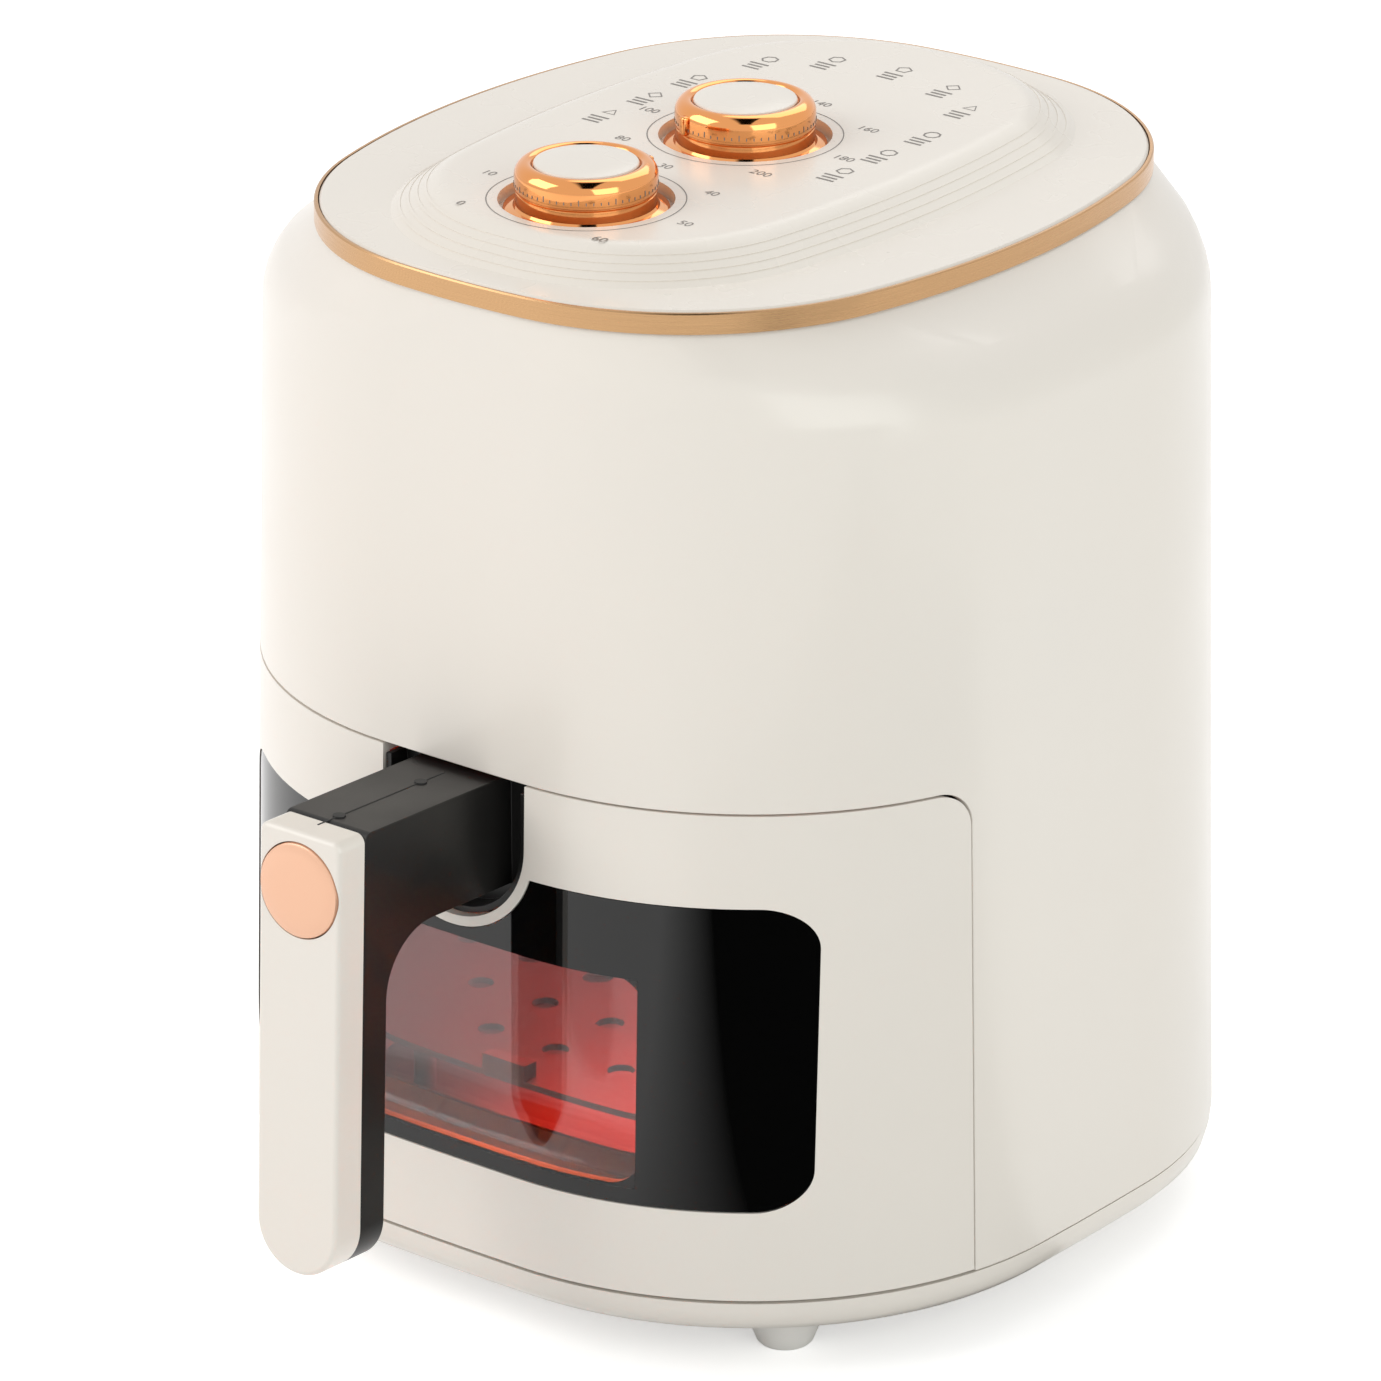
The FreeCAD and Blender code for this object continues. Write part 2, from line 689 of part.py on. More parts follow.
def thermal_cutout():
    """Small cut-out can on the reflector."""
    profile = [(0, dome_high_z), (9, dome_high_z), (9, dome_high_z + 5), (6, dome_high_z + 9), (0, dome_high_z + 9)]
    return revolved(profile, 0, fan_y + dome_radius - cutout_inset)


def safety_switch():
    """Door switch on the chamber's side wall, with its short lever."""
    x = chamber_half
    case = block(x, drawer_edge_y + 12, 150, x + 8, drawer_edge_y + 32, 162)
    lever = block(x + 3, drawer_edge_y + 6, 154, x + 4, drawer_edge_y + 12, 158)
    return case.fuse(lever)


def drawer_front():
    """Curved front panel with its window opening, pocket opening and turned-in edges."""
    low = base_seam_z
    high = drawer_top_z + 10
    skin = wall_form(0, low, high).common(drawer_region(gap))
    hollow = wall_form(drawer_wall, low - 1, high + 1).common(drawer_region(gap + drawer_wall))
    behind = drawer_region(gap + drawer_wall).translated(V(0, 20, 0))
    hollow = hollow.fuse(behind.common(wall_form(drawer_wall, low - 1, high + 1)))
    panel = skin.cut(hollow)
    panel = panel.cut(window_prism(slip, outer_y, drawer_edge_y))
    return panel.cut(pocket_prism(0, outer_y, tray_back_y + 21.6))


def window_glass():
    """Curved dark pane set flush in the drawer front."""
    low = window_low_z - 5
    high = window_high_z + 5
    pane = wall_form(0.35, low, high).cut(wall_form(0.35 + glass_thickness, low - 1, high + 1))
    return pane.common(window_prism(0, outer_y, drawer_edge_y))


def window_frame():
    """Dark carrier behind the pane, with the clear viewing opening."""
    low = window_low_z - 8
    high = window_high_z + 8
    front = 0.35 + glass_thickness
    ring = wall_form(front, low, high).cut(wall_form(front + frame_thickness, low - 1, high + 1))
    ring = ring.common(window_prism(-0.4, outer_y, drawer_edge_y))
    clear = rectangle(-clear_half, clear_low_z, clear_half, clear_high_z, 10)
    return ring.cut(prism(clear, xz, V(0, outer_y, 0), V(0, 60, 0)))


def handle_frame():
    """Black bracket: pocket tray, hollow arm and the rear half of the grip in one moulding."""
    front = -body_width / 2 + taper_at(drawer_top_z) + 1.2
    top = drawer_top_z - gap - drawer_wall
    cap = block(-60, -260, top, 60, 0, top + 60)
    tray = pocket_prism(-slip, front, tray_back_y).cut(cap)
    recess = pocket_prism(-slip - tray_wall, front - 5, front + tray_depth)
    tray = tray.cut(recess)
    half = handle_width / 2
    root = front + tray_depth + 1.4
    side = [(root, handle_high_z, 0), (root, arm_low_z, 0), (grip_back_y, arm_low_z, arm_blend)]
    side += [(grip_back_y, handle_low_z + 40, 0), (cover_back_y, handle_low_z + 40, 0)]
    side += [(cover_back_y, handle_high_z, 3)]
    arm = prism(side, yz, V(-half, 0, 0), V(2 * half, 0, 0))
    grip = grip_prism(0, cover_back_y, grip_back_y, handle_high_z - 10)
    grip = grip.fuse(arm).cut(along_y(8.5, 0, button_z, cover_back_y - 1, cover_back_y + 8))
    return tray.fuse(leaned(grip)).removeSplitter()


def leaned(shape):
    """Tips a handle piece about its root so that the grip's foot swings out."""
    return shape.rotated(V(0, tray_back_y, handle_pivot_z), V(1, 0, 0), -handle_lean)


def grip_prism(inset, from_y, to_y, top_z):
    half = handle_width / 2 - inset
    corners = [(-half, handle_low_z + inset, half - 0.01), (half, handle_low_z + inset, half - 0.01)]
    corners += [(half, top_z, 3), (-half, top_z, 3)]
    return prism(corners, xz, V(0, from_y, 0), V(0, to_y - from_y, 0))


def handle_cover():
    """Pale grip cover with softened front edges and the button's bore."""
    cover = grip_prism(0, handle_front_y, cover_back_y, handle_high_z)
    face = [e for e in cover.Edges if abs(e.BoundBox.YMax - handle_front_y) < 0.01]
    cover = cover.makeFillet(cover_soft, face)
    cover = cover.cut(along_y(button_radius + slip, 0, button_z, handle_front_y - 1, cover_back_y + 1))
    return leaned(cover)


def handle_screws():
    """Two small screws that hold the handle's halves, seen on the arm's top."""
    forms = []
    for y in (grip_back_y - 4, tray_back_y - 26):
        head = cylinder(1.9, 0, y, handle_high_z, handle_high_z + 0.4)
        forms.append(leaned(head))
    return Part.makeCompound(forms)


def release_button():
    """Round push button with a softened rim and a short guide stem."""
    button = along_y(button_radius, 0, button_z, button_front_y, button_front_y + button_depth)
    rim = [e for e in button.Edges if abs(e.BoundBox.YMax - button_front_y) < 0.01]
    button = button.makeFillet(1.2, rim)
    guide = along_y(3.0, 0, button_z, button_front_y + button_depth, button_front_y + button_depth + 3.5)
    return leaned(button.fuse(guide))


def button_spring():
    """Return spring wound from half-turn arcs between the button and the frame."""
    start = button_front_y + button_depth
    length = cover_back_y + 8 - start
    wire_radius = 0.6
    coil_radius = 5.4
    turns = 4
    edges = []
    climb = (length - 2 * wire_radius) / (2 * turns)
    steps = [(coil_radius, 0), (0, coil_radius), (-coil_radius, 0), (0, -coil_radius)]
    for half in range(2 * turns):
        places = []
        for quarter in range(3):
            dx, dz = steps[(2 * half + quarter) % 4]
            y = start + wire_radius + climb * (half + quarter / 2)
            places.append(V(dx, y, button_z + dz))
        edges.append(Part.Arc(*places).toShape())
    path = Part.Wire(edges)
    ring = Part.Wire([Part.makeCircle(wire_radius, edges[0].valueAt(edges[0].FirstParameter), V(0, 0, 1))])
    return leaned(path.makePipeShell([ring], True, True))


def pan_form(inset, low_z, high_z):
    """Tub of bowed sides that narrows slightly towards the bottom."""
    width = 2 * pan_half_width
    depth = 2 * pan_half_depth

    def ring(extra, z):
        return bowed(width, depth, pan_side_radius, pan_corner_radius, inset + extra, z, pan_centre_y)

    return Part.makeLoft([ring(pan_draft + 6, low_z), ring(pan_draft, low_z + 6), ring(0, high_z)], True, True)


def pan():
    """Coated tub with a turned-out lip, a window opening and a flat mounting pad for the handle."""
    width = 2 * pan_half_width
    depth = 2 * pan_half_depth
    outer = pan_form(0, pan_low_z, pan_high_z)
    lip = bowed(width, depth, pan_side_radius, pan_corner_radius, -pan_lip, pan_high_z - pan_wall, pan_centre_y)
    tub = outer.fuse(slab(lip, pan_wall))
    pad = block(-22, tray_back_y, pan_high_z - 30, 22, pan_centre_y - pan_half_depth + 6, pan_high_z)
    tub = tub.fuse(pad).cut(pan_form(pan_wall, pan_low_z + pan_wall, pan_high_z + 0.01))
    clear = rectangle(-clear_half + 4, clear_low_z + 2, clear_half - 4, clear_high_z - 2, 10)
    return tub.cut(prism(clear, xz, V(0, -150, 0), V(0, 60, 0)))


def pan_window():
    """Heat-proof pane that covers the pan's viewing opening from outside."""
    cover = rectangle(-clear_half - 4, clear_low_z - 5, clear_half + 4, clear_high_z + 3, 12)
    outer = pan_form(-3.2, pan_low_z, pan_high_z).cut(pan_form(0, pan_low_z, pan_high_z))
    return outer.common(prism(cover, xz, V(0, -150, 0), V(0, 60, 0)))


def crisper_plate():
    """Perforated tray insert on four short legs, with a finger hole in the middle."""
    width = 2 * pan_half_width
    depth = 2 * pan_half_depth
    edge = pan_wall + pan_draft + 3
    ring = bowed(width, depth, pan_side_radius, pan_corner_radius, edge, plate_z, pan_centre_y)
    plate = slab(ring, plate_thickness)
    plate = plate.cut(cylinder(13, 0, pan_centre_y, plate_z - 1, plate_z + 5))
    holes = []
    for row in range(-3, 4):
        for column in range(-3, 4):
            x = column * plate_hole_pitch
            y = row * plate_hole_pitch
            reach = math.hypot(x, y)
            if 18 < reach < 3.4 * plate_hole_pitch:
                holes.append(cylinder(plate_hole_radius, x, y + pan_centre_y, plate_z - 1, plate_z + 5))
    plate = plate.cut(Part.makeCompound(holes))
    for x, y in leg_places():
        plate = plate.fuse(cylinder(3.5, x, y, pan_low_z + pan_wall + slip, plate_z))
    return plate


def leg_places():
    return [(x, pan_centre_y + y) for x in (-60, 60) for y in (-60, 60)]


def plate_bumpers():
    """Four soft pads on the insert's edge that keep it from rattling in the pan."""
    forms = []
    reach_x = pan_half_width - pan_wall - pan_draft - 3
    reach_y = pan_half_depth - pan_wall - pan_draft - 3
    low = plate_z + plate_thickness
    for x, y in ((-reach_x, 0), (reach_x, 0), (0, -reach_y), (0, reach_y)):
        half_x = 2.5 if x else 8
        half_y = 8 if x else 2.5
        inward_x = x - math.copysign(2.6, x) if x else 0
        inward_y = y - math.copysign(2.6, y) if y else 0
        pad = block(inward_x - half_x, inward_y - half_y, low, inward_x + half_x, inward_y + half_y, low + 5)
        forms.append(pad.translated(V(0, pan_centre_y, 0)))
    return Part.makeCompound(forms)


def front_knob():
    return knob(knob_front_y, -20)


def rear_knob():
    return knob(knob_rear_y, 160)


def front_knob_cap():
    return knob_cap(knob_front_y)


def rear_knob_cap():
    return knob_cap(knob_rear_y)


def front_knob_shaft():
    return knob_shaft(knob_front_y)


def rear_knob_shaft():
    return knob_shaft(knob_rear_y)


def fan_impeller():
    return bladed_wheel(fan_radius, 9, fan_low_z, 12, 8, False)


def cooling_fan():
    return bladed_wheel(cooler_radius, 8, cooler_low_z, 9, 6, True)


makers = (
    housing_shell, rear_vent_grille, cord_gland, panel_trim_band, top_panel, control_bracket, timer, thermostat,
    front_knob, rear_knob, front_knob_cap, rear_knob_cap, front_knob_shaft, rear_knob_shaft, base_cover, feet,
    base_screws, inner_chamber, heater_dome, heating_element, element_clips, fan_impeller, cooling_fan, motor_shaft,
    motor, motor_bridge, thermal_cutout, safety_switch, drawer_front, window_glass, window_frame, handle_frame,
    handle_cover, handle_screws, release_button, button_spring, pan, pan_window, crisper_plate, plate_bumpers,
)

os.makedirs("parts", exist_ok=True)
for maker in makers:
    shape = maker().translated(V(0, centre_shift, 0))
    shape.exportStep("parts/" + maker.__name__ + ".step")
    solids = len(shape.Solids)
    size = shape.BoundBox
    print(maker.__name__, solids, shape.isValid(), round(size.XLength, 1), round(size.YLength, 1), round(size.ZLength, 1))
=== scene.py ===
"""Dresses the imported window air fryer: finishes, print, knobs, glow and a plain studio."""

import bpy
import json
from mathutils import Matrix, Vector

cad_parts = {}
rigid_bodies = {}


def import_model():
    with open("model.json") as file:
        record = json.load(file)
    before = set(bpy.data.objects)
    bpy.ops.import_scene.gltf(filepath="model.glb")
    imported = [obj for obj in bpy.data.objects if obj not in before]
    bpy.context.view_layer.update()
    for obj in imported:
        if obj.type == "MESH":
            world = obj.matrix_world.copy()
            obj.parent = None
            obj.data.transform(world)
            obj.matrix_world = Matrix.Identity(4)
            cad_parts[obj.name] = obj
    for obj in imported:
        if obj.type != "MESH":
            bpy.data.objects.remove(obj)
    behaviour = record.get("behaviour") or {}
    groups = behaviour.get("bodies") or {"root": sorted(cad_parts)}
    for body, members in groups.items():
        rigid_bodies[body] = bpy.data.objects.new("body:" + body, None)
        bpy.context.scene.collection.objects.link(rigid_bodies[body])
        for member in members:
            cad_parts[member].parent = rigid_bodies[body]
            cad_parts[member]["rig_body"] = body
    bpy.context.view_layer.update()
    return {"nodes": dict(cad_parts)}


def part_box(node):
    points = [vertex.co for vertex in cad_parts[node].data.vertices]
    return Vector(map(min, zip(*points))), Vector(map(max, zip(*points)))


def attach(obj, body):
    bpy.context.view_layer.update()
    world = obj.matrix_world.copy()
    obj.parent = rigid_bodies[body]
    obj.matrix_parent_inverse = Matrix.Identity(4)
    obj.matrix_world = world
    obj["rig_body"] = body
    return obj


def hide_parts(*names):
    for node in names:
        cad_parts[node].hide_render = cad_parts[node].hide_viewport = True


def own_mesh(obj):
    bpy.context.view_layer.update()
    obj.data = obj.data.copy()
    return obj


bl_info = {
    "name": "Window Air Fryer",
    "version": (1, 0, 0),
    "blender": (4, 5, 0),
    "location": "View3D > Sidebar > Fryer",
    "description": "Builds the finished air fryer over its packed solids",
    "category": "Object",
}

import json
import math

import bmesh
import bpy
from bpy.props import FloatProperty, FloatVectorProperty, IntProperty, PointerProperty
from mathutils import Matrix, Vector

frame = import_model()


def middle_y(node):
    """Middle of a node's box along the drawer's line."""
    low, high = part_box(node)
    return (low.y + high.y) / 2


# Levels of the raised field and of the lid round it, and the upright axes.
panel_top = 0.3316
lid_level = 0.3222
body_axis = middle_y("base_cover")
front_axis = middle_y("front_knob_shaft")
rear_axis = middle_y("rear_knob_shaft")

# The side wall's outline: corner arcs, slightly bowed sides and a small upward lean.
corner_centre = 0.02474
side_centre = -1.164
side_tangent = 0.0208
wall_lean = 0.0222

# Clear middle of the window.
clear_half = 0.063
clear_low = 0.0575
clear_high = 0.123

# The handle tips about its root in the drawer front.
handle_lean = math.radians(2.2)
handle_root = Vector((0, body_axis - 0.1216, 0.158))
handle_face = body_axis - 0.201
button_level = 0.1566
handle_tip = Matrix.Translation(handle_root) @ Matrix.Rotation(-handle_lean, 4, "X")

# Steps of a printed ring or of a small turned piece.
round_steps = 96

# Vertices of a CAD node's loose triangles that lie closer than this are one.
weld = 0.000002


class FryerSizes(bpy.types.PropertyGroup):
    """Sizes of the finished pieces."""

    edge_softness: FloatProperty(
        name="Edge Softness", description="Rounding along moulded edges", default=0.0006, unit="LENGTH")
    print_height: FloatProperty(
        name="Number Height", description="Height of the dial numbers", default=0.0048, unit="LENGTH")
    print_ring: FloatProperty(
        name="Dial Ring", description="Radius of the printed ring round a knob", default=0.0290,
        unit="LENGTH")
    number_ring: FloatProperty(
        name="Number Ring", description="Radius on which the dial numbers stand", default=0.0362,
        unit="LENGTH")
    knob_steps: IntProperty(
        name="Knob Steps", description="Steps of a knob's turned form", default=96, min=24)
    menu_half: FloatProperty(
        name="Menu Half Width", description="Half the width of the arch of menu marks", default=0.0435,
        unit="LENGTH")


class FryerColours(bpy.types.PropertyGroup):
    """Colours of the finishes, in linear light."""

    cream: FloatVectorProperty(
        name="Cream", description="Main moulding colour", default=(0.85, 0.795, 0.725),
        subtype="COLOR", min=0, max=1)
    cream_cool: FloatVectorProperty(
        name="Cool Cream", description="Drift of the moulding colour", default=(0.835, 0.79, 0.73),
        subtype="COLOR", min=0, max=1)
    panel: FloatVectorProperty(
        name="Panel", description="Top panel and knob discs", default=(0.845, 0.795, 0.725),
        subtype="COLOR", min=0, max=1)
    copper: FloatVectorProperty(
        name="Copper", description="Knob plating", default=(0.82, 0.35, 0.125),
        subtype="COLOR", min=0, max=1)
    champagne: FloatVectorProperty(
        name="Champagne", description="Trim band metal", default=(0.53, 0.318, 0.16),
        subtype="COLOR", min=0, max=1)
    peach: FloatVectorProperty(
        name="Peach", description="Push button", default=(0.86, 0.50, 0.33),
        subtype="COLOR", min=0, max=1)
    black: FloatVectorProperty(
        name="Black", description="Handle bracket", default=(0.010, 0.0095, 0.009),
        subtype="COLOR", min=0, max=1)
    glow: FloatVectorProperty(
        name="Glow", description="Light inside the pan", default=(1.0, 0.035, 0.02),
        subtype="COLOR", min=0, max=1)


def grouped(name, inputs, outputs):
    """Empty shader node group with named sockets."""
    group = bpy.data.node_groups.new(name, "ShaderNodeTree")
    for label, kind, value in inputs:
        socket = group.interface.new_socket(label, in_out="INPUT", socket_type=kind)
        socket.default_value = value
    for label, kind in outputs:
        group.interface.new_socket(label, in_out="OUTPUT", socket_type=kind)
    entry = group.nodes.new("NodeGroupInput")
    leave = group.nodes.new("NodeGroupOutput")
    return group, entry, leave


def noise_in(group, scale, detail=4.0, stretch=None):
    """Noise texture on object coordinates, with an optional stretch."""
    nodes = group.nodes
    place = nodes.new("ShaderNodeTexCoord")
    noise = nodes.new("ShaderNodeTexNoise")
    noise.inputs["Detail"].default_value = detail
    source = place.outputs["Object"]
    if stretch:
        mapping = nodes.new("ShaderNodeMapping")
        mapping.inputs["Scale"].default_value = stretch
        group.links.new(source, mapping.inputs["Vector"])
        source = mapping.outputs["Vector"]
    group.links.new(source, noise.inputs["Vector"])
    if hasattr(scale, "is_output"):
        group.links.new(scale, noise.inputs["Scale"])
    else:
        noise.inputs["Scale"].default_value = scale
    return noise.outputs["Fac"]


def ranged(group, value, low, high):
    """Map Range from a noise's middle span to two socket values."""
    node = group.nodes.new("ShaderNodeMapRange")
    node.inputs["From Min"].default_value = 0.3
    node.inputs["From Max"].default_value = 0.7
    group.links.new(value, node.inputs["Value"])
    for socket, label in ((low, "To Min"), (high, "To Max")):
        if hasattr(socket, "is_output"):
            group.links.new(socket, node.inputs[label])
        else:
            node.inputs[label].default_value = socket
    return node.outputs["Result"]


def moulded_grain():
    """Fine moulded texture: roughness patches and a small height."""
    if "moulded_grain" in bpy.data.node_groups:
        return bpy.data.node_groups["moulded_grain"]
    inputs = [("Scale", "NodeSocketFloat", 900.0), ("Rough Low", "NodeSocketFloat", 0.3),
              ("Rough High", "NodeSocketFloat", 0.4)]
    group, entry, leave = grouped("moulded_grain", inputs, [("Roughness", "NodeSocketFloat"),
                                                            ("Height", "NodeSocketFloat")])
    fine = noise_in(group, entry.outputs["Scale"], 3.0)
    broad = noise_in(group, 35.0, 3.0)
    group.links.new(ranged(group, broad, entry.outputs["Rough Low"], entry.outputs["Rough High"]),
                    leave.inputs["Roughness"])
    group.links.new(fine, leave.inputs["Height"])
    return group


def tone_drift():
    """Slow drift between two tones over a surface."""
    if "tone_drift" in bpy.data.node_groups:
        return bpy.data.node_groups["tone_drift"]
    inputs = [("Tone", "NodeSocketColor", (1, 1, 1, 1)), ("Other Tone", "NodeSocketColor", (1, 1, 1, 1)),
              ("Scale", "NodeSocketFloat", 6.0)]
    group, entry, leave = grouped("tone_drift", inputs, [("Color", "NodeSocketColor")])
    broad = noise_in(group, entry.outputs["Scale"], 2.0)
    mix = group.nodes.new("ShaderNodeMix")
    mix.data_type = "RGBA"
    group.links.new(ranged(group, broad, 0.0, 1.0), mix.inputs["Factor"])
    group.links.new(entry.outputs["Tone"], mix.inputs["A"])
    group.links.new(entry.outputs["Other Tone"], mix.inputs["B"])
    group.links.new(mix.outputs["Result"], leave.inputs["Color"])
    return group


def brushed_lines():
    """Fine drawn lines in bare metal, level with the floor."""
    if "brushed_lines" in bpy.data.node_groups:
        return bpy.data.node_groups["brushed_lines"]
    inputs = [("Rough Low", "NodeSocketFloat", 0.2), ("Rough High", "NodeSocketFloat", 0.4)]
    group, entry, leave = grouped("brushed_lines", inputs, [("Roughness", "NodeSocketFloat"),
                                                            ("Height", "NodeSocketFloat")])
    lines = noise_in(group, 40.0, 6.0, (1.0, 1.0, 60.0))
    group.links.new(ranged(group, lines, entry.outputs["Rough Low"], entry.outputs["Rough High"]),
                    leave.inputs["Roughness"])
    group.links.new(lines, leave.inputs["Height"])
    return group


def placed(material, group, **values):
    """One use of a node group inside a material."""
    node = material.node_tree.nodes.new("ShaderNodeGroup")
    node.node_tree = group
    for label, value in values.items():
        node.inputs[label.replace("_", " ").title()].default_value = value
    return node


def finish(name, metallic=0.0, coat=0.0, coat_rough=0.05, specular=0.5):
    """Material with its principled shader ready, kept apart from the frame's plain slot materials."""
    label = name + "_finish"
    if label in bpy.data.materials:
        return bpy.data.materials[label], None
    material = bpy.data.materials.new(label)
    material.use_nodes = True
    shader = material.node_tree.nodes["Principled BSDF"]
    shader.inputs["Metallic"].default_value = metallic
    shader.inputs["Coat Weight"].default_value = coat
    shader.inputs["Coat Roughness"].default_value = coat_rough
    shader.inputs["Specular IOR Level"].default_value = specular
    return material, shader


def textured(name, tone, other, rough, depth, scale=900.0, drift=6.0, lines=False, **shader_values):
    """Finish with drifting tone, uneven roughness and a fine relief."""
    material, shader = finish(name, **shader_values)
    if shader is None:
        return material
    links = material.node_tree.links
    colour = placed(material, tone_drift(), tone=(*tone, 1), other_tone=(*other, 1), scale=drift)
    links.new(colour.outputs["Color"], shader.inputs["Base Color"])
    if lines:
        grain = placed(material, brushed_lines(), rough_low=rough[0], rough_high=rough[1])
    else:
        grain = placed(material, moulded_grain(), scale=scale, rough_low=rough[0], rough_high=rough[1])
    links.new(grain.outputs["Roughness"], shader.inputs["Roughness"])
    bump = material.node_tree.nodes.new("ShaderNodeBump")
    bump.inputs["Strength"].default_value = 0.35
    bump.inputs["Distance"].default_value = depth
    links.new(grain.outputs["Height"], bump.inputs["Height"])
    links.new(bump.outputs["Normal"], shader.inputs["Normal"])
    return material


def scaled(colour, factor):
    """Colour made lighter or darker."""
    return tuple(min(1.0, part * factor) for part in colour)


def cream_gloss():
    colours = bpy.context.scene.fryer_colours
    return textured("cream_gloss", colours.cream, colours.cream_cool, (0.30, 0.36), 0.00002, coat=0.25,
                    coat_rough=0.12)


def cream_panel():
    colours = bpy.context.scene.fryer_colours
    return textured("cream_panel", colours.panel, scaled(colours.panel, 0.985), (0.24, 0.30), 0.00001,
                    coat=0.05, coat_rough=0.08, specular=0.3)


def copper_plate():
    colours = bpy.context.scene.fryer_colours
    return textured("copper_plate", colours.copper, scaled(colours.copper, 0.94), (0.06, 0.11), 0.000004,
                    metallic=1.0)


def champagne_metal():
    colours = bpy.context.scene.fryer_colours
    return textured("champagne_metal", colours.champagne, scaled(colours.champagne, 0.93), (0.22, 0.34),
                    0.000012, lines=True, metallic=1.0)


def peach_satin():
    colours = bpy.context.scene.fryer_colours
    return textured("peach_satin", colours.peach, scaled(colours.peach, 0.95), (0.28, 0.36), 0.00001,
                    coat=0.3, coat_rough=0.1, metallic=0.35)


def black_satin():
    colours = bpy.context.scene.fryer_colours
    return textured("black_satin", colours.black, scaled(colours.black, 1.5), (0.32, 0.42), 0.00003,
                    scale=1400.0, specular=0.34)


def black_border():
    return textured("black_border", (0.002, 0.002, 0.002), (0.003, 0.003, 0.003), (0.5, 0.6), 0.00001)


def printed_glass():
    return textured("printed_glass", (0.0015, 0.0015, 0.0015), (0.002, 0.002, 0.002), (0.02, 0.04), 0.000001)


def coated_pan():
    return textured("coated_pan", (0.022, 0.021, 0.021), (0.034, 0.033, 0.033), (0.34, 0.46), 0.00004,
                    scale=700.0)


def bare_steel():
    return textured("bare_steel", (0.58, 0.57, 0.55), (0.52, 0.51, 0.50), (0.24, 0.4), 0.00002, lines=True,
                    metallic=1.0)


def cast_alloy():
    return textured("cast_alloy", (0.55, 0.55, 0.56), (0.48, 0.48, 0.49), (0.4, 0.55), 0.00008, scale=500.0,
                    metallic=1.0)


def soft_pad():
    return textured("soft_pad", (0.86, 0.84, 0.80), (0.80, 0.78, 0.75), (0.45, 0.55), 0.00004)


def dark_rubber():
    return textured("dark_rubber", (0.02, 0.02, 0.02), (0.03, 0.03, 0.03), (0.6, 0.75), 0.00006)


def dial_ink():
    return textured("dial_ink", (0.19, 0.17, 0.155), (0.24, 0.22, 0.20), (0.45, 0.55), 0.00001)


def hot_element():
    """Sheathed tube with a dull red heat."""
    material = textured("hot_element", (0.10, 0.06, 0.05), (0.16, 0.09, 0.07), (0.4, 0.6), 0.00005,
                        metallic=0.6)
    shader = material.node_tree.nodes["Principled BSDF"]
    shader.inputs["Emission Color"].default_value = (1.0, 0.12, 0.03, 1)
    shader.inputs["Emission Strength"].default_value = 1.2
    return material


def clear_pane(name, tint, rough):
    """Glass with faint wiping marks in its roughness."""
    material, shader = finish(name)
    if shader is None:
        return material
    shader.inputs["Base Color"].default_value = (*tint, 1)
    shader.inputs["Transmission Weight"].default_value = 1.0
    shader.inputs["IOR"].default_value = 1.47
    grain = placed(material, moulded_grain(), scale=300.0, rough_low=rough[0], rough_high=rough[1])
    material.node_tree.links.new(grain.outputs["Roughness"], shader.inputs["Roughness"])
    return material


def seated(name, mesh, material, body, nodes=()):
    """Object for a finished mesh, riding on its body and standing for CAD nodes."""
    piece = bpy.data.objects.new(name, mesh)
    bpy.context.scene.collection.objects.link(piece)
    mesh.materials.clear()
    mesh.materials.append(material)
    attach(piece, body)
    if nodes:
        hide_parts(*nodes)
    return piece


def meshed(form, name, crease=32.0):
    """Mesh from a bmesh, smooth apart from edges sharper than the crease."""
    limit = math.radians(crease)
    for face in form.faces:
        face.smooth = True
    for edge in form.edges:
        edge.smooth = len(edge.link_faces) == 2 and edge.calc_face_angle() < limit
    mesh = bpy.data.meshes.new(name)
    form.to_mesh(mesh)
    form.free()
    for label in ("custom_normal", "sharp_face"):
        layer = mesh.attributes.get(label)
        if layer:
            mesh.attributes.remove(layer)
    return mesh


def shaped(name, form, material, body, nodes=()):
    """Finished object straight from a bmesh."""
    return seated(name, meshed(form, name), material, body, nodes)


def softened(form, edges, offset, segments):
    """Rounds edges of a bmesh."""
    bmesh.ops.bevel(form, geom=edges, offset=offset, offset_type="OFFSET", affect="EDGES", segments=segments,
                    profile=0.5, material=-1)


def wall_normal(point):
    """Outward direction of the bowed, slightly leaning side wall at a point."""
    x, y = point.x, point.y - body_axis
    reach = Vector((abs(x), abs(y)))
    out = reach - Vector((corner_centre, corner_centre))
    if out.y < out.x * side_tangent:
        out = reach - Vector((side_centre, 0))
    elif out.x < out.y * side_tangent:
        out = reach - Vector((0, side_centre))
    out.normalize()
    return Vector((math.copysign(out.x, x), math.copysign(out.y, y), wall_lean)).normalized()


def wall_shaded(piece):
    """Freezes a piece's modifiers and gives its wall faces the wall's true directions."""
    graph = bpy.context.evaluated_depsgraph_get()
    mesh = bpy.data.meshes.new_from_object(piece.evaluated_get(graph))
    piece.modifiers.clear()
    piece.data = mesh
    near = math.cos(math.radians(9))
    directions = []
    for loop, corner in zip(mesh.loops, mesh.corner_normals):
        normal = corner.vector.copy()
        true = wall_normal(mesh.vertices[loop.vertex_index].co)
        match = normal.dot(true)
        if abs(match) > near:
            normal = true * math.copysign(1, match)
        directions.append(normal)
    mesh.normals_split_custom_set(directions)


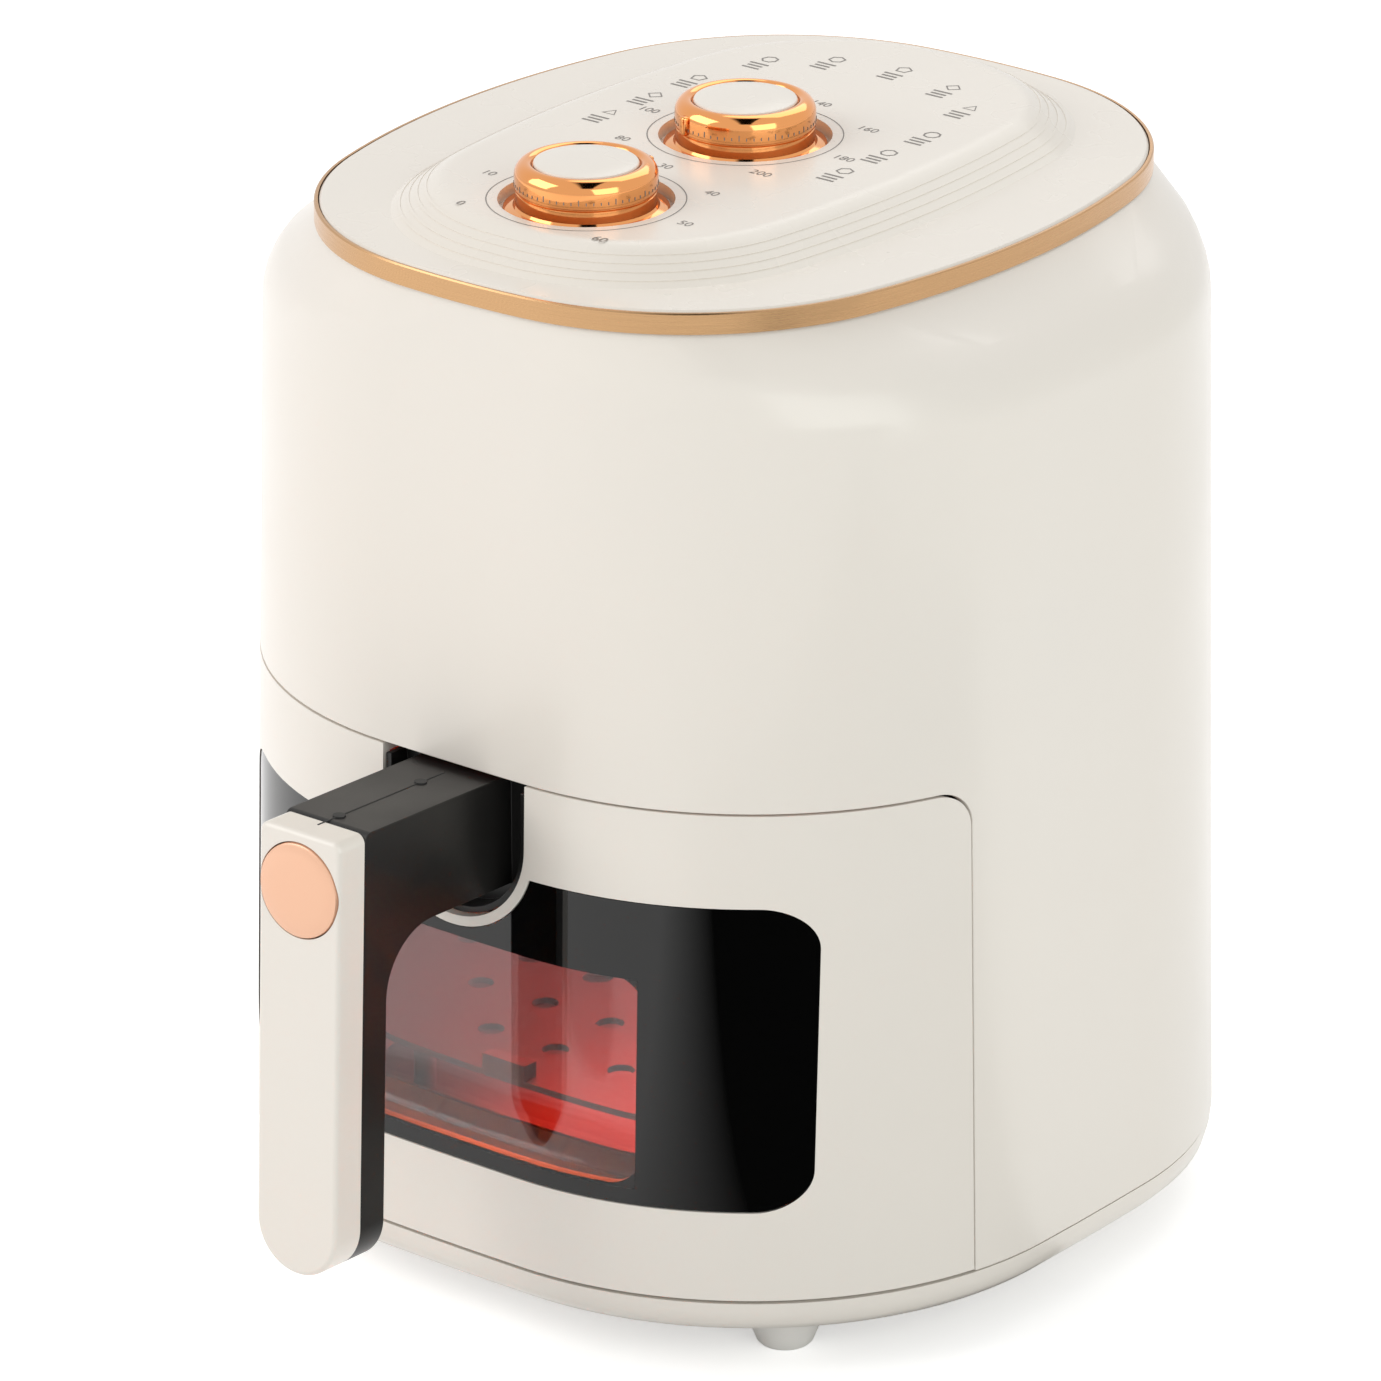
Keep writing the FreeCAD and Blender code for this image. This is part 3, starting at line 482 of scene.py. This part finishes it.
def skinned(node, material, soft=0.0, crease=32.0):
    """Welded, smooth-shaded copy of a CAD node, with softened edges where asked."""
    form = bmesh.new()
    form.from_mesh(frame["nodes"][node].data)
    bmesh.ops.remove_doubles(form, verts=form.verts, dist=weld)
    bmesh.ops.dissolve_limit(form, angle_limit=math.radians(0.3), verts=form.verts, edges=form.edges)
    mesh = meshed(form, node + "_skin", crease)
    piece = seated(node + "_skin", mesh, material, frame["nodes"][node]["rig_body"], (node,))
    if soft:
        bevel = piece.modifiers.new("soft_edges", "BEVEL")
        bevel.width = soft
        bevel.segments = 2
        bevel.limit_method = "ANGLE"
        bevel.angle_limit = math.radians(40)
        bevel.harden_normals = True
    weight = piece.modifiers.new("even_shading", "WEIGHTED_NORMAL")
    weight.keep_sharp = True
    return piece


def painted(node, material):
    """Gives a CAD node its finish."""
    data = frame["nodes"][node].data
    data.materials.clear()
    data.materials.append(material)


def turned(points, steps, x, y):
    """Bmesh turned about an upright axis from (radius, height) points."""
    form = bmesh.new()
    ring = [form.verts.new((radius, 0, height)) for radius, height in points]
    edges = [form.edges.new(pair) for pair in zip(ring, ring[1:])]
    bmesh.ops.spin(form, geom=ring + edges, cent=(0, 0, 0), axis=(0, 0, 1), angle=math.tau, steps=steps,
                   use_merge=True, dvec=(0, 0, 0))
    bmesh.ops.remove_doubles(form, verts=form.verts, dist=0.000001)
    bmesh.ops.recalc_face_normals(form, faces=form.faces)
    bmesh.ops.translate(form, verts=form.verts, vec=(x, y, 0))
    return form


class FRYER_OT_housing(bpy.types.Operator):
    """Finishes the housing, its base, rear grille and lead bush"""

    bl_idname = "fryer.housing"
    bl_label = "Housing"

    def execute(self, context):
        soft = context.scene.fryer_sizes.edge_softness
        wall_shaded(skinned("housing_shell", cream_gloss(), soft))
        skinned("base_cover", cream_gloss(), 0)
        skinned("rear_vent_grille", cream_gloss(), 0)
        skinned("cord_gland", black_satin(), soft)
        return {"FINISHED"}


class FRYER_OT_feet(bpy.types.Operator):
    """Finishes the feet and the base screws"""

    bl_idname = "fryer.feet"
    bl_label = "Feet"

    def execute(self, context):
        skinned("feet", soft_pad(), 0)
        skinned("base_screws", bare_steel(), 0)
        return {"FINISHED"}


class FRYER_OT_panel(bpy.types.Operator):
    """Finishes the crowned top panel and its metal band"""

    bl_idname = "fryer.panel"
    bl_label = "Top Panel"

    rib_shares = (0.22, 0.4, 0.58, 0.76)
    rib_half = 0.00022
    rib_height = 0.00022
    well_reach = 0.03

    def execute(self, context):
        skinned("top_panel", cream_panel(), 0)
        skinned("panel_trim_band", champagne_metal(), 0)
        form = bmesh.new()
        for share in self.rib_shares:
            self.rib(form, lid_level + (panel_top - lid_level) * share)
        shaped("field_ribs", form, cream_panel(), "housing")
        return {"FINISHED"}

    def rib(self, form, level):
        """Fine raised line round the slope of the raised field."""
        strip = bmesh.new()
        strip.from_mesh(frame["nodes"]["top_panel"].data)
        bmesh.ops.remove_doubles(strip, verts=strip.verts, dist=weld)
        for side in (-1, 1):
            geom = strip.verts[:] + strip.edges[:] + strip.faces[:]
            bmesh.ops.bisect_plane(strip, geom=geom, dist=0.0000001,
                                   plane_co=(0, 0, level + side * self.rib_half), plane_no=(0, 0, side),
                                   clear_outer=True)
        inner = [face for face in strip.faces if not self.on_slope(face)]
        bmesh.ops.delete(strip, geom=inner, context="FACES")
        strip.normal_update()
        grown = bmesh.ops.extrude_face_region(strip, geom=strip.faces[:])["geom"]
        for vert in [part for part in grown if isinstance(part, bmesh.types.BMVert)]:
            vert.co += vert.normal * self.rib_height
        bmesh.ops.recalc_face_normals(strip, faces=strip.faces)
        mesh = bpy.data.meshes.new("rib")
        strip.to_mesh(mesh)
        strip.free()
        stamped(form, mesh, Matrix())

    def on_slope(self, face):
        """True on the outer slope, away from the knob wells and the underside."""
        middle = face.calc_center_median()
        away = min((middle.xy - Vector((0, axis))).length for axis in (front_axis, rear_axis))
        return face.normal.z > 0.15 and away > self.well_reach


def flat_text(body, height):
    """Mesh of a short number, centred on the origin and facing up."""
    curve = bpy.data.curves.new("number", "FONT")
    curve.body = body
    curve.size = height
    curve.align_x = "CENTER"
    curve.align_y = "CENTER"
    holder = bpy.data.objects.new("number", curve)
    bpy.context.scene.collection.objects.link(holder)
    mesh = bpy.data.meshes.new_from_object(holder)
    bpy.data.objects.remove(holder)
    bpy.data.curves.remove(curve)
    return mesh


def stamped(form, mesh, matrix):
    """Adds a mesh to a bmesh in its place."""
    mesh.transform(matrix)
    form.from_mesh(mesh)
    bpy.data.meshes.remove(mesh)


def ring_mark(form, radius, width, x, y, z, steps=round_steps):
    """Flat printed ring."""
    made = bmesh.ops.create_circle(form, cap_ends=False, radius=radius, segments=steps)
    edges = {edge for vert in made["verts"] for edge in vert.link_edges}
    grown = bmesh.ops.extrude_edge_only(form, edges=list(edges))
    verts = [part for part in grown["geom"] if isinstance(part, bmesh.types.BMVert)]
    factor = (radius - width) / radius
    bmesh.ops.scale(form, verts=verts, vec=(factor, factor, 1))
    bmesh.ops.translate(form, verts=made["verts"] + verts, vec=(x, y, z))


def bar_mark(form, length, width, x, y, z):
    """Flat printed bar."""
    made = bmesh.ops.create_grid(form, x_segments=1, y_segments=1, size=0.5)
    bmesh.ops.scale(form, verts=made["verts"], vec=(length, width, 1))
    bmesh.ops.translate(form, verts=made["verts"], vec=(x, y, z))


class FRYER_OT_print(bpy.types.Operator):
    """Prints the dial rings, plain numbers and simple menu marks on the panel"""

    bl_idname = "fryer.print"
    bl_label = "Panel Print"

    ink_lift = 0.00006
    ring_width = 0.00035
    dial_start = -135
    dial_sweep = 270
    leg_below = 0.014
    leg_above = 0.028
    arch_lift = 0.01
    arch_share = 0.78
    mark_radius = 0.0028
    mark_width = 0.0006
    mark_rise = 0.0052
    stroke_lengths = (0.0068, 0.0054, 0.0062)
    stroke_width = 0.0009
    stroke_pitch = 0.0022

    def execute(self, context):
        sizes = context.scene.fryer_sizes
        level = panel_top + self.ink_lift
        form = bmesh.new()
        dials = ((front_axis, [str(minute) for minute in range(0, 61, 10)]),
                 (rear_axis, [str(heat) for heat in range(80, 201, 20)]))
        for axis, numbers in dials:
            ring_mark(form, sizes.print_ring, self.ring_width, 0, axis, level)
            for index, number in enumerate(numbers):
                turn = math.radians(self.dial_start + self.dial_sweep * index / (len(numbers) - 1))
                spot = Vector((math.sin(turn), math.cos(turn), 0)) * sizes.number_ring
                place = Matrix.Translation((spot.x, spot.y + axis, level))
                stamped(form, flat_text(number, sizes.print_height), place)
        self.menu(form, sizes.menu_half, level)
        shaped("panel_print", form, dial_ink(), "housing")
        return {"FINISHED"}

    def menu(self, form, half, level):
        """Arch of small plain marks around the rear dial."""
        leg_low, leg_high = rear_axis - self.leg_below, rear_axis + self.leg_above
        spots = []
        for side in (-1, 1):
            for step in range(3):
                spots.append((side * half, leg_low + (leg_high - leg_low) * step / 2))
        for step in range(1, 6):
            turn = math.pi * step / 6
            rise = leg_high + self.arch_lift + half * self.arch_share * math.sin(turn)
            spots.append((half * math.cos(turn), rise))
        for index, (x, y) in enumerate(spots):
            ring_mark(form, self.mark_radius, self.mark_width, x, y + self.mark_rise, level, 3 + index % 6)
            for stroke, length in enumerate(self.stroke_lengths):
                bar_mark(form, length, self.stroke_width, x, y - self.stroke_pitch * stroke, level)


class FRYER_OT_knobs(bpy.types.Operator):
    """Turns the two plated knobs with their pointer ribs and cream discs"""

    bl_idname = "fryer.knobs"
    bl_label = "Knobs"

    bore = 0.0034
    skirt_step = 0.0034
    grip_lift = 0.0030
    rim_across = 0.0036
    rim_down = 0.0040
    seat_depth = 0.0021
    seat_clearance = 0.0003
    pointer_width = 0.0028
    pointer_depth = 0.0034
    pointer_sink = 0.0003
    pointer_foot = 0.0003
    pointer_drop = 0.0023
    pointer_round = 0.0007
    tick_count = 60
    tick_width = 0.00028
    tick_depth = 0.0002
    long_tick = 0.0017
    short_tick = 0.0009
    tick_lift = 0.0046

    def execute(self, context):
        facets = context.scene.fryer_sizes.knob_steps
        knobs = (("front", "timer_dial", front_axis, -20), ("rear", "temperature_dial", rear_axis, 160))
        for side, body, axis, turn in knobs:
            knob, cap = side + "_knob", side + "_knob_cap"
            low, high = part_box(knob)
            cap_low, cap_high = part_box(cap)
            radius = (cap_high.x - cap_low.x) / 2
            form = self.form(low, high, radius + self.seat_clearance, facets, axis, turn)
            shaped(knob + "_form", form, copper_plate(), body, (knob,))
            disc = self.disc(radius, cap_low.z, cap_high.z, facets, axis)
            shaped(knob + "_disc", disc, cream_panel(), body, (cap,))
            painted(knob + "_shaft", bare_steel())
            marks = self.ticks((high.x - low.x) / 2 - self.skirt_step, axis)
            shaped(knob + "_ticks", marks, dial_ink(), body)
        return {"FINISHED"}

    def disc(self, radius, low, top, facets, axis):
        """Slightly crowned disc with a softened rim."""
        points = [(0, low), (radius, low), (radius, top - 0.0009), (radius - 0.0003, top - 0.0005)]
        points += [(radius - 0.0012, top - 0.00025), (radius * 0.5, top - 0.00005), (0, top)]
        return turned(points, facets, 0, axis)

    def ticks(self, radius, axis):
        """Fine scale marks round the foot of a knob's grip."""
        form = bmesh.new()
        for index in range(self.tick_count):
            tall = self.long_tick if index % 5 == 0 else self.short_tick
            mark = bmesh.ops.create_cube(form, size=1.0)["verts"]
            bmesh.ops.scale(form, verts=mark, vec=(self.tick_width, self.tick_depth, tall))
            bmesh.ops.translate(form, verts=mark, vec=(0, radius, panel_top + self.tick_lift + tall / 2))
            spin = Matrix.Rotation(math.tau * (index + 0.5) / self.tick_count, 4, "Z")
            bmesh.ops.transform(form, matrix=Matrix.Translation((0, axis, 0)) @ spin, verts=mark)
        return form

    def form(self, bottom, top, seat, facets, axis, turn):
        """Skirt, recessed neck, straight grip and a rolled rim round the disc's seat."""
        low, high = bottom.z, top.z
        skirt = (top.x - bottom.x) / 2
        radius = skirt - self.skirt_step
        grip = panel_top + self.grip_lift
        start = (self.bore, low + 0.0052)
        skirt_line = [(skirt - 0.004, low + 0.0012), (skirt - 0.0012, low), (skirt - 0.0003, low + 0.0002),
                      (skirt, low + 0.0006), (skirt - 0.0002, low + 0.0011), (skirt - 0.0008, low + 0.0014)]
        neck_line = [(radius + 0.0004, low + 0.0019), (radius - 0.0002, low + 0.0026),
                     (radius - 0.0004, grip - 0.0005), (radius - 0.0008, grip - 0.0002),
                     (radius - 0.0008, grip)]
        rim_low = high - self.rim_down
        grip_line = [(radius - 0.0001, grip + 0.0004), (radius, grip + 0.0012), (radius, rim_low)]
        for step in range(1, 10):
            bend = math.pi / 2 * step / 9
            inset = self.rim_across * (1 - math.cos(bend))
            grip_line.append((radius - inset, rim_low + self.rim_down * math.sin(bend)))
        seat_line = [(seat + 0.0009, high - 0.0001), (seat + 0.0004, high - 0.0005), (seat, high - 0.0011),
                     (seat, high - self.seat_depth), (self.bore, high - self.seat_depth)]
        form = turned([start, *skirt_line, *neck_line, *grip_line, *seat_line, start], facets, 0, 0)
        self.pointer(form, radius, grip, high)
        place = Matrix.Translation((0, axis, 0)) @ Matrix.Rotation(math.radians(turn), 4, "Z")
        bmesh.ops.transform(form, matrix=place, verts=form.verts)
        return form

    def pointer(self, form, radius, grip, high):
        """Rounded rib down the grip that points at the dial."""
        low, top = grip + self.pointer_foot, high - self.pointer_drop
        rib = bmesh.ops.create_cube(form, size=1.0)["verts"]
        bmesh.ops.scale(form, verts=rib, vec=(self.pointer_width, self.pointer_depth, top - low))
        bmesh.ops.translate(form, verts=rib, vec=(0, radius - self.pointer_sink, (low + top) / 2))
        softened(form, list({edge for vert in rib for edge in vert.link_edges}), self.pointer_round, 3)


class FRYER_OT_drawer(bpy.types.Operator):
    """Finishes the drawer front and the dark window in it"""

    bl_idname = "fryer.drawer"
    bl_label = "Drawer Front"

    def execute(self, context):
        soft = context.scene.fryer_sizes.edge_softness
        wall_shaded(skinned("drawer_front", cream_gloss(), soft))
        wall_shaded(self.pane())
        wall_shaded(skinned("window_frame", black_border(), 0))
        return {"FINISHED"}

    def pane(self):
        """Window glass, clear in its middle and printed black round that."""
        piece = skinned("window_glass", printed_glass(), 0)
        piece.data.materials.append(clear_pane("smoked_glass", (0.72, 0.68, 0.68), (0.0, 0.01)))
        form = bmesh.new()
        form.from_mesh(piece.data)
        cuts = [((side * clear_half, 0, 0), (1, 0, 0)) for side in (-1, 1)]
        cuts += [((0, 0, level), (0, 0, 1)) for level in (clear_low, clear_high)]
        for spot, across in cuts:
            geom = form.verts[:] + form.edges[:] + form.faces[:]
            bmesh.ops.bisect_plane(form, geom=geom, dist=0.000001, plane_co=spot, plane_no=across)
        for face in form.faces:
            middle = face.calc_center_median()
            face.material_index = int(abs(middle.x) < clear_half and clear_low < middle.z < clear_high)
        form.to_mesh(piece.data)
        form.free()
        return piece


class FRYER_OT_handle(bpy.types.Operator):
    """Finishes the handle bracket, its cover, screws and push button"""

    bl_idname = "fryer.handle"
    bl_label = "Handle"

    frame_softness = 0.0008
    stem = 0.003
    stem_end = -0.008
    shoulder = -0.0045
    seam_size = (0.0006, 0.056, 0.0003)
    seam_round = 0.0001
    arm_top = 0.0162

    def execute(self, context):
        skinned("handle_frame", black_satin(), self.frame_softness)
        skinned("handle_cover", cream_gloss(), 0)
        skinned("handle_screws", dark_rubber(), 0)
        self.seam()
        self.button()
        self.spring()
        return {"FINISHED"}

    def spring(self):
        """Return spring, finished in bare steel on a mesh of its own."""
        coil = skinned("button_spring", bare_steel(), 0)
        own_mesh(coil)

    def button(self):
        """Push button almost level with the cover, with a softened rim and a guide stem."""
        low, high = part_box("release_button")
        radius = (high.x - low.x) / 2
        points = [(0, self.stem_end), (self.stem, self.stem_end), (self.stem, self.shoulder)]
        points += [(radius, self.shoulder), (radius, -0.0003), (radius - 0.0002, 0.0003)]
        points += [(radius - 0.0008, 0.0006), (radius * 0.6, 0.00085), (0, 0.0009)]
        form = turned(points, round_steps, 0, 0)
        spot = Matrix.Translation((0, handle_face - handle_root.y, button_level - handle_root.z))
        place = handle_tip @ spot @ Matrix.Rotation(math.pi / 2, 4, "X")
        bmesh.ops.transform(form, matrix=place, verts=form.verts)
        shaped("release_button_cap", form, peach_satin(), "button",
               ("release_button",))

    def seam(self):
        """Parting line along the top of the arm."""
        low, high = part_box("handle_screws")
        form = bmesh.new()
        made = bmesh.ops.create_cube(form, size=1.0)["verts"]
        bmesh.ops.scale(form, verts=made, vec=self.seam_size)
        softened(form, form.edges[:], self.seam_round, 2)
        middle = (low.y + high.y) / 2 - handle_root.y
        bmesh.ops.translate(form, verts=form.verts, vec=(0, middle, self.arm_top))
        bmesh.ops.transform(form, matrix=handle_tip, verts=form.verts)
        shaped("arm_seam", form, dark_rubber(), "drawer")


class FRYER_OT_pan(bpy.types.Operator):
    """Finishes the pan, its inner pane and the crisper plate"""

    bl_idname = "fryer.pan"
    bl_label = "Pan"

    def execute(self, context):
        skinned("pan", coated_pan(), 0)
        skinned("pan_window", clear_pane("heat_glass", (0.95, 0.95, 0.95), (0.0, 0.015)), 0)
        skinned("crisper_plate", coated_pan(), 0)
        painted("plate_bumpers", dark_rubber())
        return {"FINISHED"}


class FRYER_OT_works(bpy.types.Operator):
    """Finishes the chamber, heater, fans and controls inside"""

    bl_idname = "fryer.works"
    bl_label = "Inner Works"

    def execute(self, context):
        finishes = {
            bare_steel: ("inner_chamber", "heater_dome", "element_clips", "motor_bridge", "thermal_cutout",
                         "control_bracket", "thermostat", "motor_shaft"),
            cast_alloy: ("fan_impeller", "motor"),
            black_satin: ("cooling_fan", "timer", "safety_switch"),
            hot_element: ("heating_element",),
        }
        for make, nodes in finishes.items():
            for node in nodes:
                painted(node, make())
        return {"FINISHED"}


def seen_rays(tree):
    """One for rays from the lens, in gloss and through glass, and nought for the rest."""
    rays = tree.nodes.new("ShaderNodeLightPath")
    total = rays.outputs["Is Camera Ray"]
    for label in ("Is Glossy Ray", "Is Transmission Ray"):
        add = tree.nodes.new("ShaderNodeMath")
        add.operation = "ADD"
        add.use_clamp = True
        tree.links.new(total, add.inputs[0])
        tree.links.new(rays.outputs[label], add.inputs[1])
        total = add.outputs[0]
    return total


def mixed(tree, factor, first, second):
    """Mix of two shaders by a factor."""
    pick = tree.nodes.new("ShaderNodeMixShader")
    tree.links.new(factor, pick.inputs["Fac"])
    tree.links.new(first.outputs[0], pick.inputs[1])
    tree.links.new(second.outputs[0], pick.inputs[2])
    return pick.outputs[0]


class FRYER_OT_stage(bpy.types.Operator):
    """Sets the white floor, soft lamps, glow lamps, dark cards and camera"""

    bl_idname = "fryer.stage"
    bl_label = "Stage"

    floor_half = 4.0
    floor_white = 0.45
    world_light = 0.5
    card_fade = 0.06
    lamp_aim = Vector((0, 0, 0.17))
    amber = (1.0, 0.14, 0.03)
    glow_side = 0.13

    def execute(self, context):
        self.floor(context)
        self.world(context)
        self.lamp("key_soft", (-1.5, -1.5, 1.5), 1.8, 28.0, (1.0, 0.975, 0.95))
        self.lamp("fill_soft", (1.9, -0.7, 0.9), 1.5, 14.0, (0.96, 1.0, 0.965))
        self.lamp("top_soft", (-0.2, 1.0, 1.4), 1.2, 6.0, (1.0, 0.99, 0.98))
        self.dark_card("dark_card", (0.8, 0.6), (0.0772, body_axis - 0.1226, 0.0004), 198.4)
        self.dark_card("dark_flag", (0.5, 1.5), (-0.15, body_axis - 0.152, 1.5), 218)
        self.glow(context)
        self.camera(context)
        context.scene.view_settings.view_transform = "Standard"
        return {"FINISHED"}

    def added(self, name, data):
        """New object of the scene for a mesh, a lamp or a lens."""
        thing = bpy.data.objects.new(name, data)
        bpy.context.scene.collection.objects.link(thing)
        return thing

    def floor(self, context):
        """Wide white floor."""
        form = bmesh.new()
        bmesh.ops.create_grid(form, x_segments=1, y_segments=1, size=self.floor_half)
        mesh = bpy.data.meshes.new("floor")
        form.to_mesh(mesh)
        form.free()
        floor = self.added("floor", mesh)
        material, shader = finish("floor_white")
        shader.inputs["Base Color"].default_value = (0.9, 0.9, 0.9, 1)
        shader.inputs["Roughness"].default_value = 0.9
        self.pale_to_camera(material, shader)
        mesh.materials.append(material)

    def pale_to_camera(self, material, shader):
        """Adds the white that the lens, metal and glass see, and keeps the shadow's shade."""
        tree = material.node_tree
        white = tree.nodes.new("ShaderNodeEmission")
        white.inputs["Strength"].default_value = self.floor_white
        nothing = tree.nodes.new("ShaderNodeEmission")
        nothing.inputs["Strength"].default_value = 0.0
        total = tree.nodes.new("ShaderNodeAddShader")
        tree.links.new(shader.outputs[0], total.inputs[0])
        tree.links.new(mixed(tree, seen_rays(tree), nothing, white), total.inputs[1])
        tree.links.new(total.outputs[0], tree.nodes["Material Output"].inputs["Surface"])

    def world(self, context):
        """White surroundings that light the object less than they show."""
        world = bpy.data.worlds.new("studio")
        context.scene.world = world
        world.use_nodes = True
        tree = world.node_tree
        soft = tree.nodes["Background"]
        soft.inputs["Color"].default_value = (1, 1, 1, 1)
        soft.inputs["Strength"].default_value = self.world_light
        white = tree.nodes.new("ShaderNodeBackground")
        white.inputs["Color"].default_value = (1, 1, 1, 1)
        shown = mixed(tree, seen_rays(tree), soft, white)
        tree.links.new(shown, tree.nodes["World Output"].inputs["Surface"])

    def lamp(self, name, place, size, power, colour):
        """Soft square lamp aimed at the middle of the body."""
        data = bpy.data.lights.new(name, "AREA")
        data.size = size
        data.energy = power
        data.color = colour
        lamp = self.added(name, data)
        lamp.location = place
        lamp.rotation_euler = (self.lamp_aim - Vector(place)).to_track_quat("-Z", "Y").to_euler()

    def dark_card(self, name, size, place, turn):
        """Black card that fades in from its edge and is seen only in gloss."""
        fade = self.card_fade
        form = bmesh.new()
        made = bmesh.ops.create_grid(form, x_segments=1, y_segments=1, size=0.5)
        bmesh.ops.scale(form, verts=made["verts"], vec=(size[0], size[1], 1))
        bmesh.ops.translate(form, verts=made["verts"], vec=(fade - size[0] / 2, size[1] / 3, 0))
        mesh = bpy.data.meshes.new(name)
        form.to_mesh(mesh)
        form.free()
        card = self.added(name, mesh)
        card.location = place
        card.rotation_euler = (0, 0, math.radians(turn))
        mesh.materials.append(self.card_black(fade))
        card.visible_camera = False
        card.visible_diffuse = False
        card.visible_shadow = False
        card.visible_transmission = False

    def card_black(self, fade):
        """Black that fades in across the card's own width."""
        material, shader = finish("card_black", specular=0.0)
        if shader is None:
            return material
        shader.inputs["Base Color"].default_value = (0.004, 0.004, 0.004, 1)
        shader.inputs["Roughness"].default_value = 0.9
        tree = material.node_tree
        place = tree.nodes.new("ShaderNodeTexCoord")
        split = tree.nodes.new("ShaderNodeSeparateXYZ")
        tree.links.new(place.outputs["Object"], split.inputs[0])
        ramp = tree.nodes.new("ShaderNodeMapRange")
        ramp.inputs["From Min"].default_value = fade
        ramp.inputs["From Max"].default_value = -fade
        tree.links.new(split.outputs["X"], ramp.inputs["Value"])
        clear = tree.nodes.new("ShaderNodeBsdfTransparent")
        faded = mixed(tree, ramp.outputs["Result"], clear, shader)
        tree.links.new(faded, tree.nodes["Material Output"].inputs["Surface"])
        return material

    def glow(self, context):
        """Hidden lamps that fill the pan with red and warm the ledge under the window."""
        low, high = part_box("pan")
        middle = (low.y + high.y) / 2
        plate_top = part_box("crisper_plate")[1].z
        red, side = context.scene.fryer_colours.glow, self.glow_side
        lamps = (("pan_glow", (0, middle, high.z - 0.006), side, side, 1.15, red),
                 ("plate_glow", (0, middle, plate_top - 0.008), side, side, 0.5, red),
                 ("ledge_glow", (0, body_axis - 0.1235, 0.125), 0.09, 0.004, 1.8, self.amber))
        for name, place, width, depth, power, colour in lamps:
            data = bpy.data.lights.new(name, "AREA")
            data.shape = "RECTANGLE"
            data.size = width
            data.size_y = depth
            data.energy = power
            data.color = colour
            lamp = self.added(name, data)
            lamp.location = place
            lamp.visible_camera = False
            lamp.visible_transmission = False

    def camera(self, context):
        """Long lens, turned to the picture's middle from the fitted standpoint."""
        azimuth, elevation, distance = math.radians(38.06), math.radians(21.15), 2.6
        aim_height, sensor = 0.20315, 36.0
        # Side of the square picture, fitted focal length and aimed point, in pixels.
        span, focal, aim_x, aim_y = 1381, 8718.9, 736.4, 546.5
        back = Vector((math.sin(azimuth) * math.cos(elevation), -math.cos(azimuth) * math.cos(elevation),
                       math.sin(elevation)))
        right = Vector((math.cos(azimuth), math.sin(azimuth), 0))
        up = back.cross(right)
        ahead = -back + right * ((span / 2 - aim_x) / focal) - up * ((span / 2 - aim_y) / focal)
        data = bpy.data.cameras.new("lens")
        data.sensor_width = sensor
        data.lens = sensor * focal / span
        data.clip_end = 50.0
        camera = self.added("lens", data)
        camera.location = Vector((0, body_axis, aim_height)) + back * distance
        camera.rotation_mode = "QUATERNION"
        camera.rotation_quaternion = ahead.to_track_quat("-Z", "Y")
        context.scene.camera = camera


class FRYER_PT_panel(bpy.types.Panel):
    """Lists the steps and values of the fryer"""

    bl_label = "Window Air Fryer"
    bl_space_type = "VIEW_3D"
    bl_region_type = "UI"
    bl_category = "Fryer"

    def draw(self, context):
        for step in steps:
            self.layout.operator(step.bl_idname)
        for group in (context.scene.fryer_sizes, context.scene.fryer_colours):
            for label in group.bl_rna.properties.keys():
                if label not in ("rna_type", "name"):
                    self.layout.prop(group, label)


steps = (FRYER_OT_housing, FRYER_OT_feet, FRYER_OT_panel, FRYER_OT_print, FRYER_OT_knobs, FRYER_OT_drawer,
         FRYER_OT_handle, FRYER_OT_pan, FRYER_OT_works, FRYER_OT_stage)
classes = (FryerSizes, FryerColours, *steps, FRYER_PT_panel)


def register():
    for item in classes:
        bpy.utils.register_class(item)
    bpy.types.Scene.fryer_sizes = PointerProperty(type=FryerSizes)
    bpy.types.Scene.fryer_colours = PointerProperty(type=FryerColours)


def unregister():
    del bpy.types.Scene.fryer_colours
    del bpy.types.Scene.fryer_sizes
    for item in reversed(classes):
        bpy.utils.unregister_class(item)


def main():
    register()
    for step in (bpy.ops.fryer.housing, bpy.ops.fryer.feet, bpy.ops.fryer.panel, bpy.ops.fryer.print,
                 bpy.ops.fryer.knobs, bpy.ops.fryer.drawer, bpy.ops.fryer.handle, bpy.ops.fryer.pan,
                 bpy.ops.fryer.works, bpy.ops.fryer.stage):
        step()


if __name__ == "__main__":
    main()
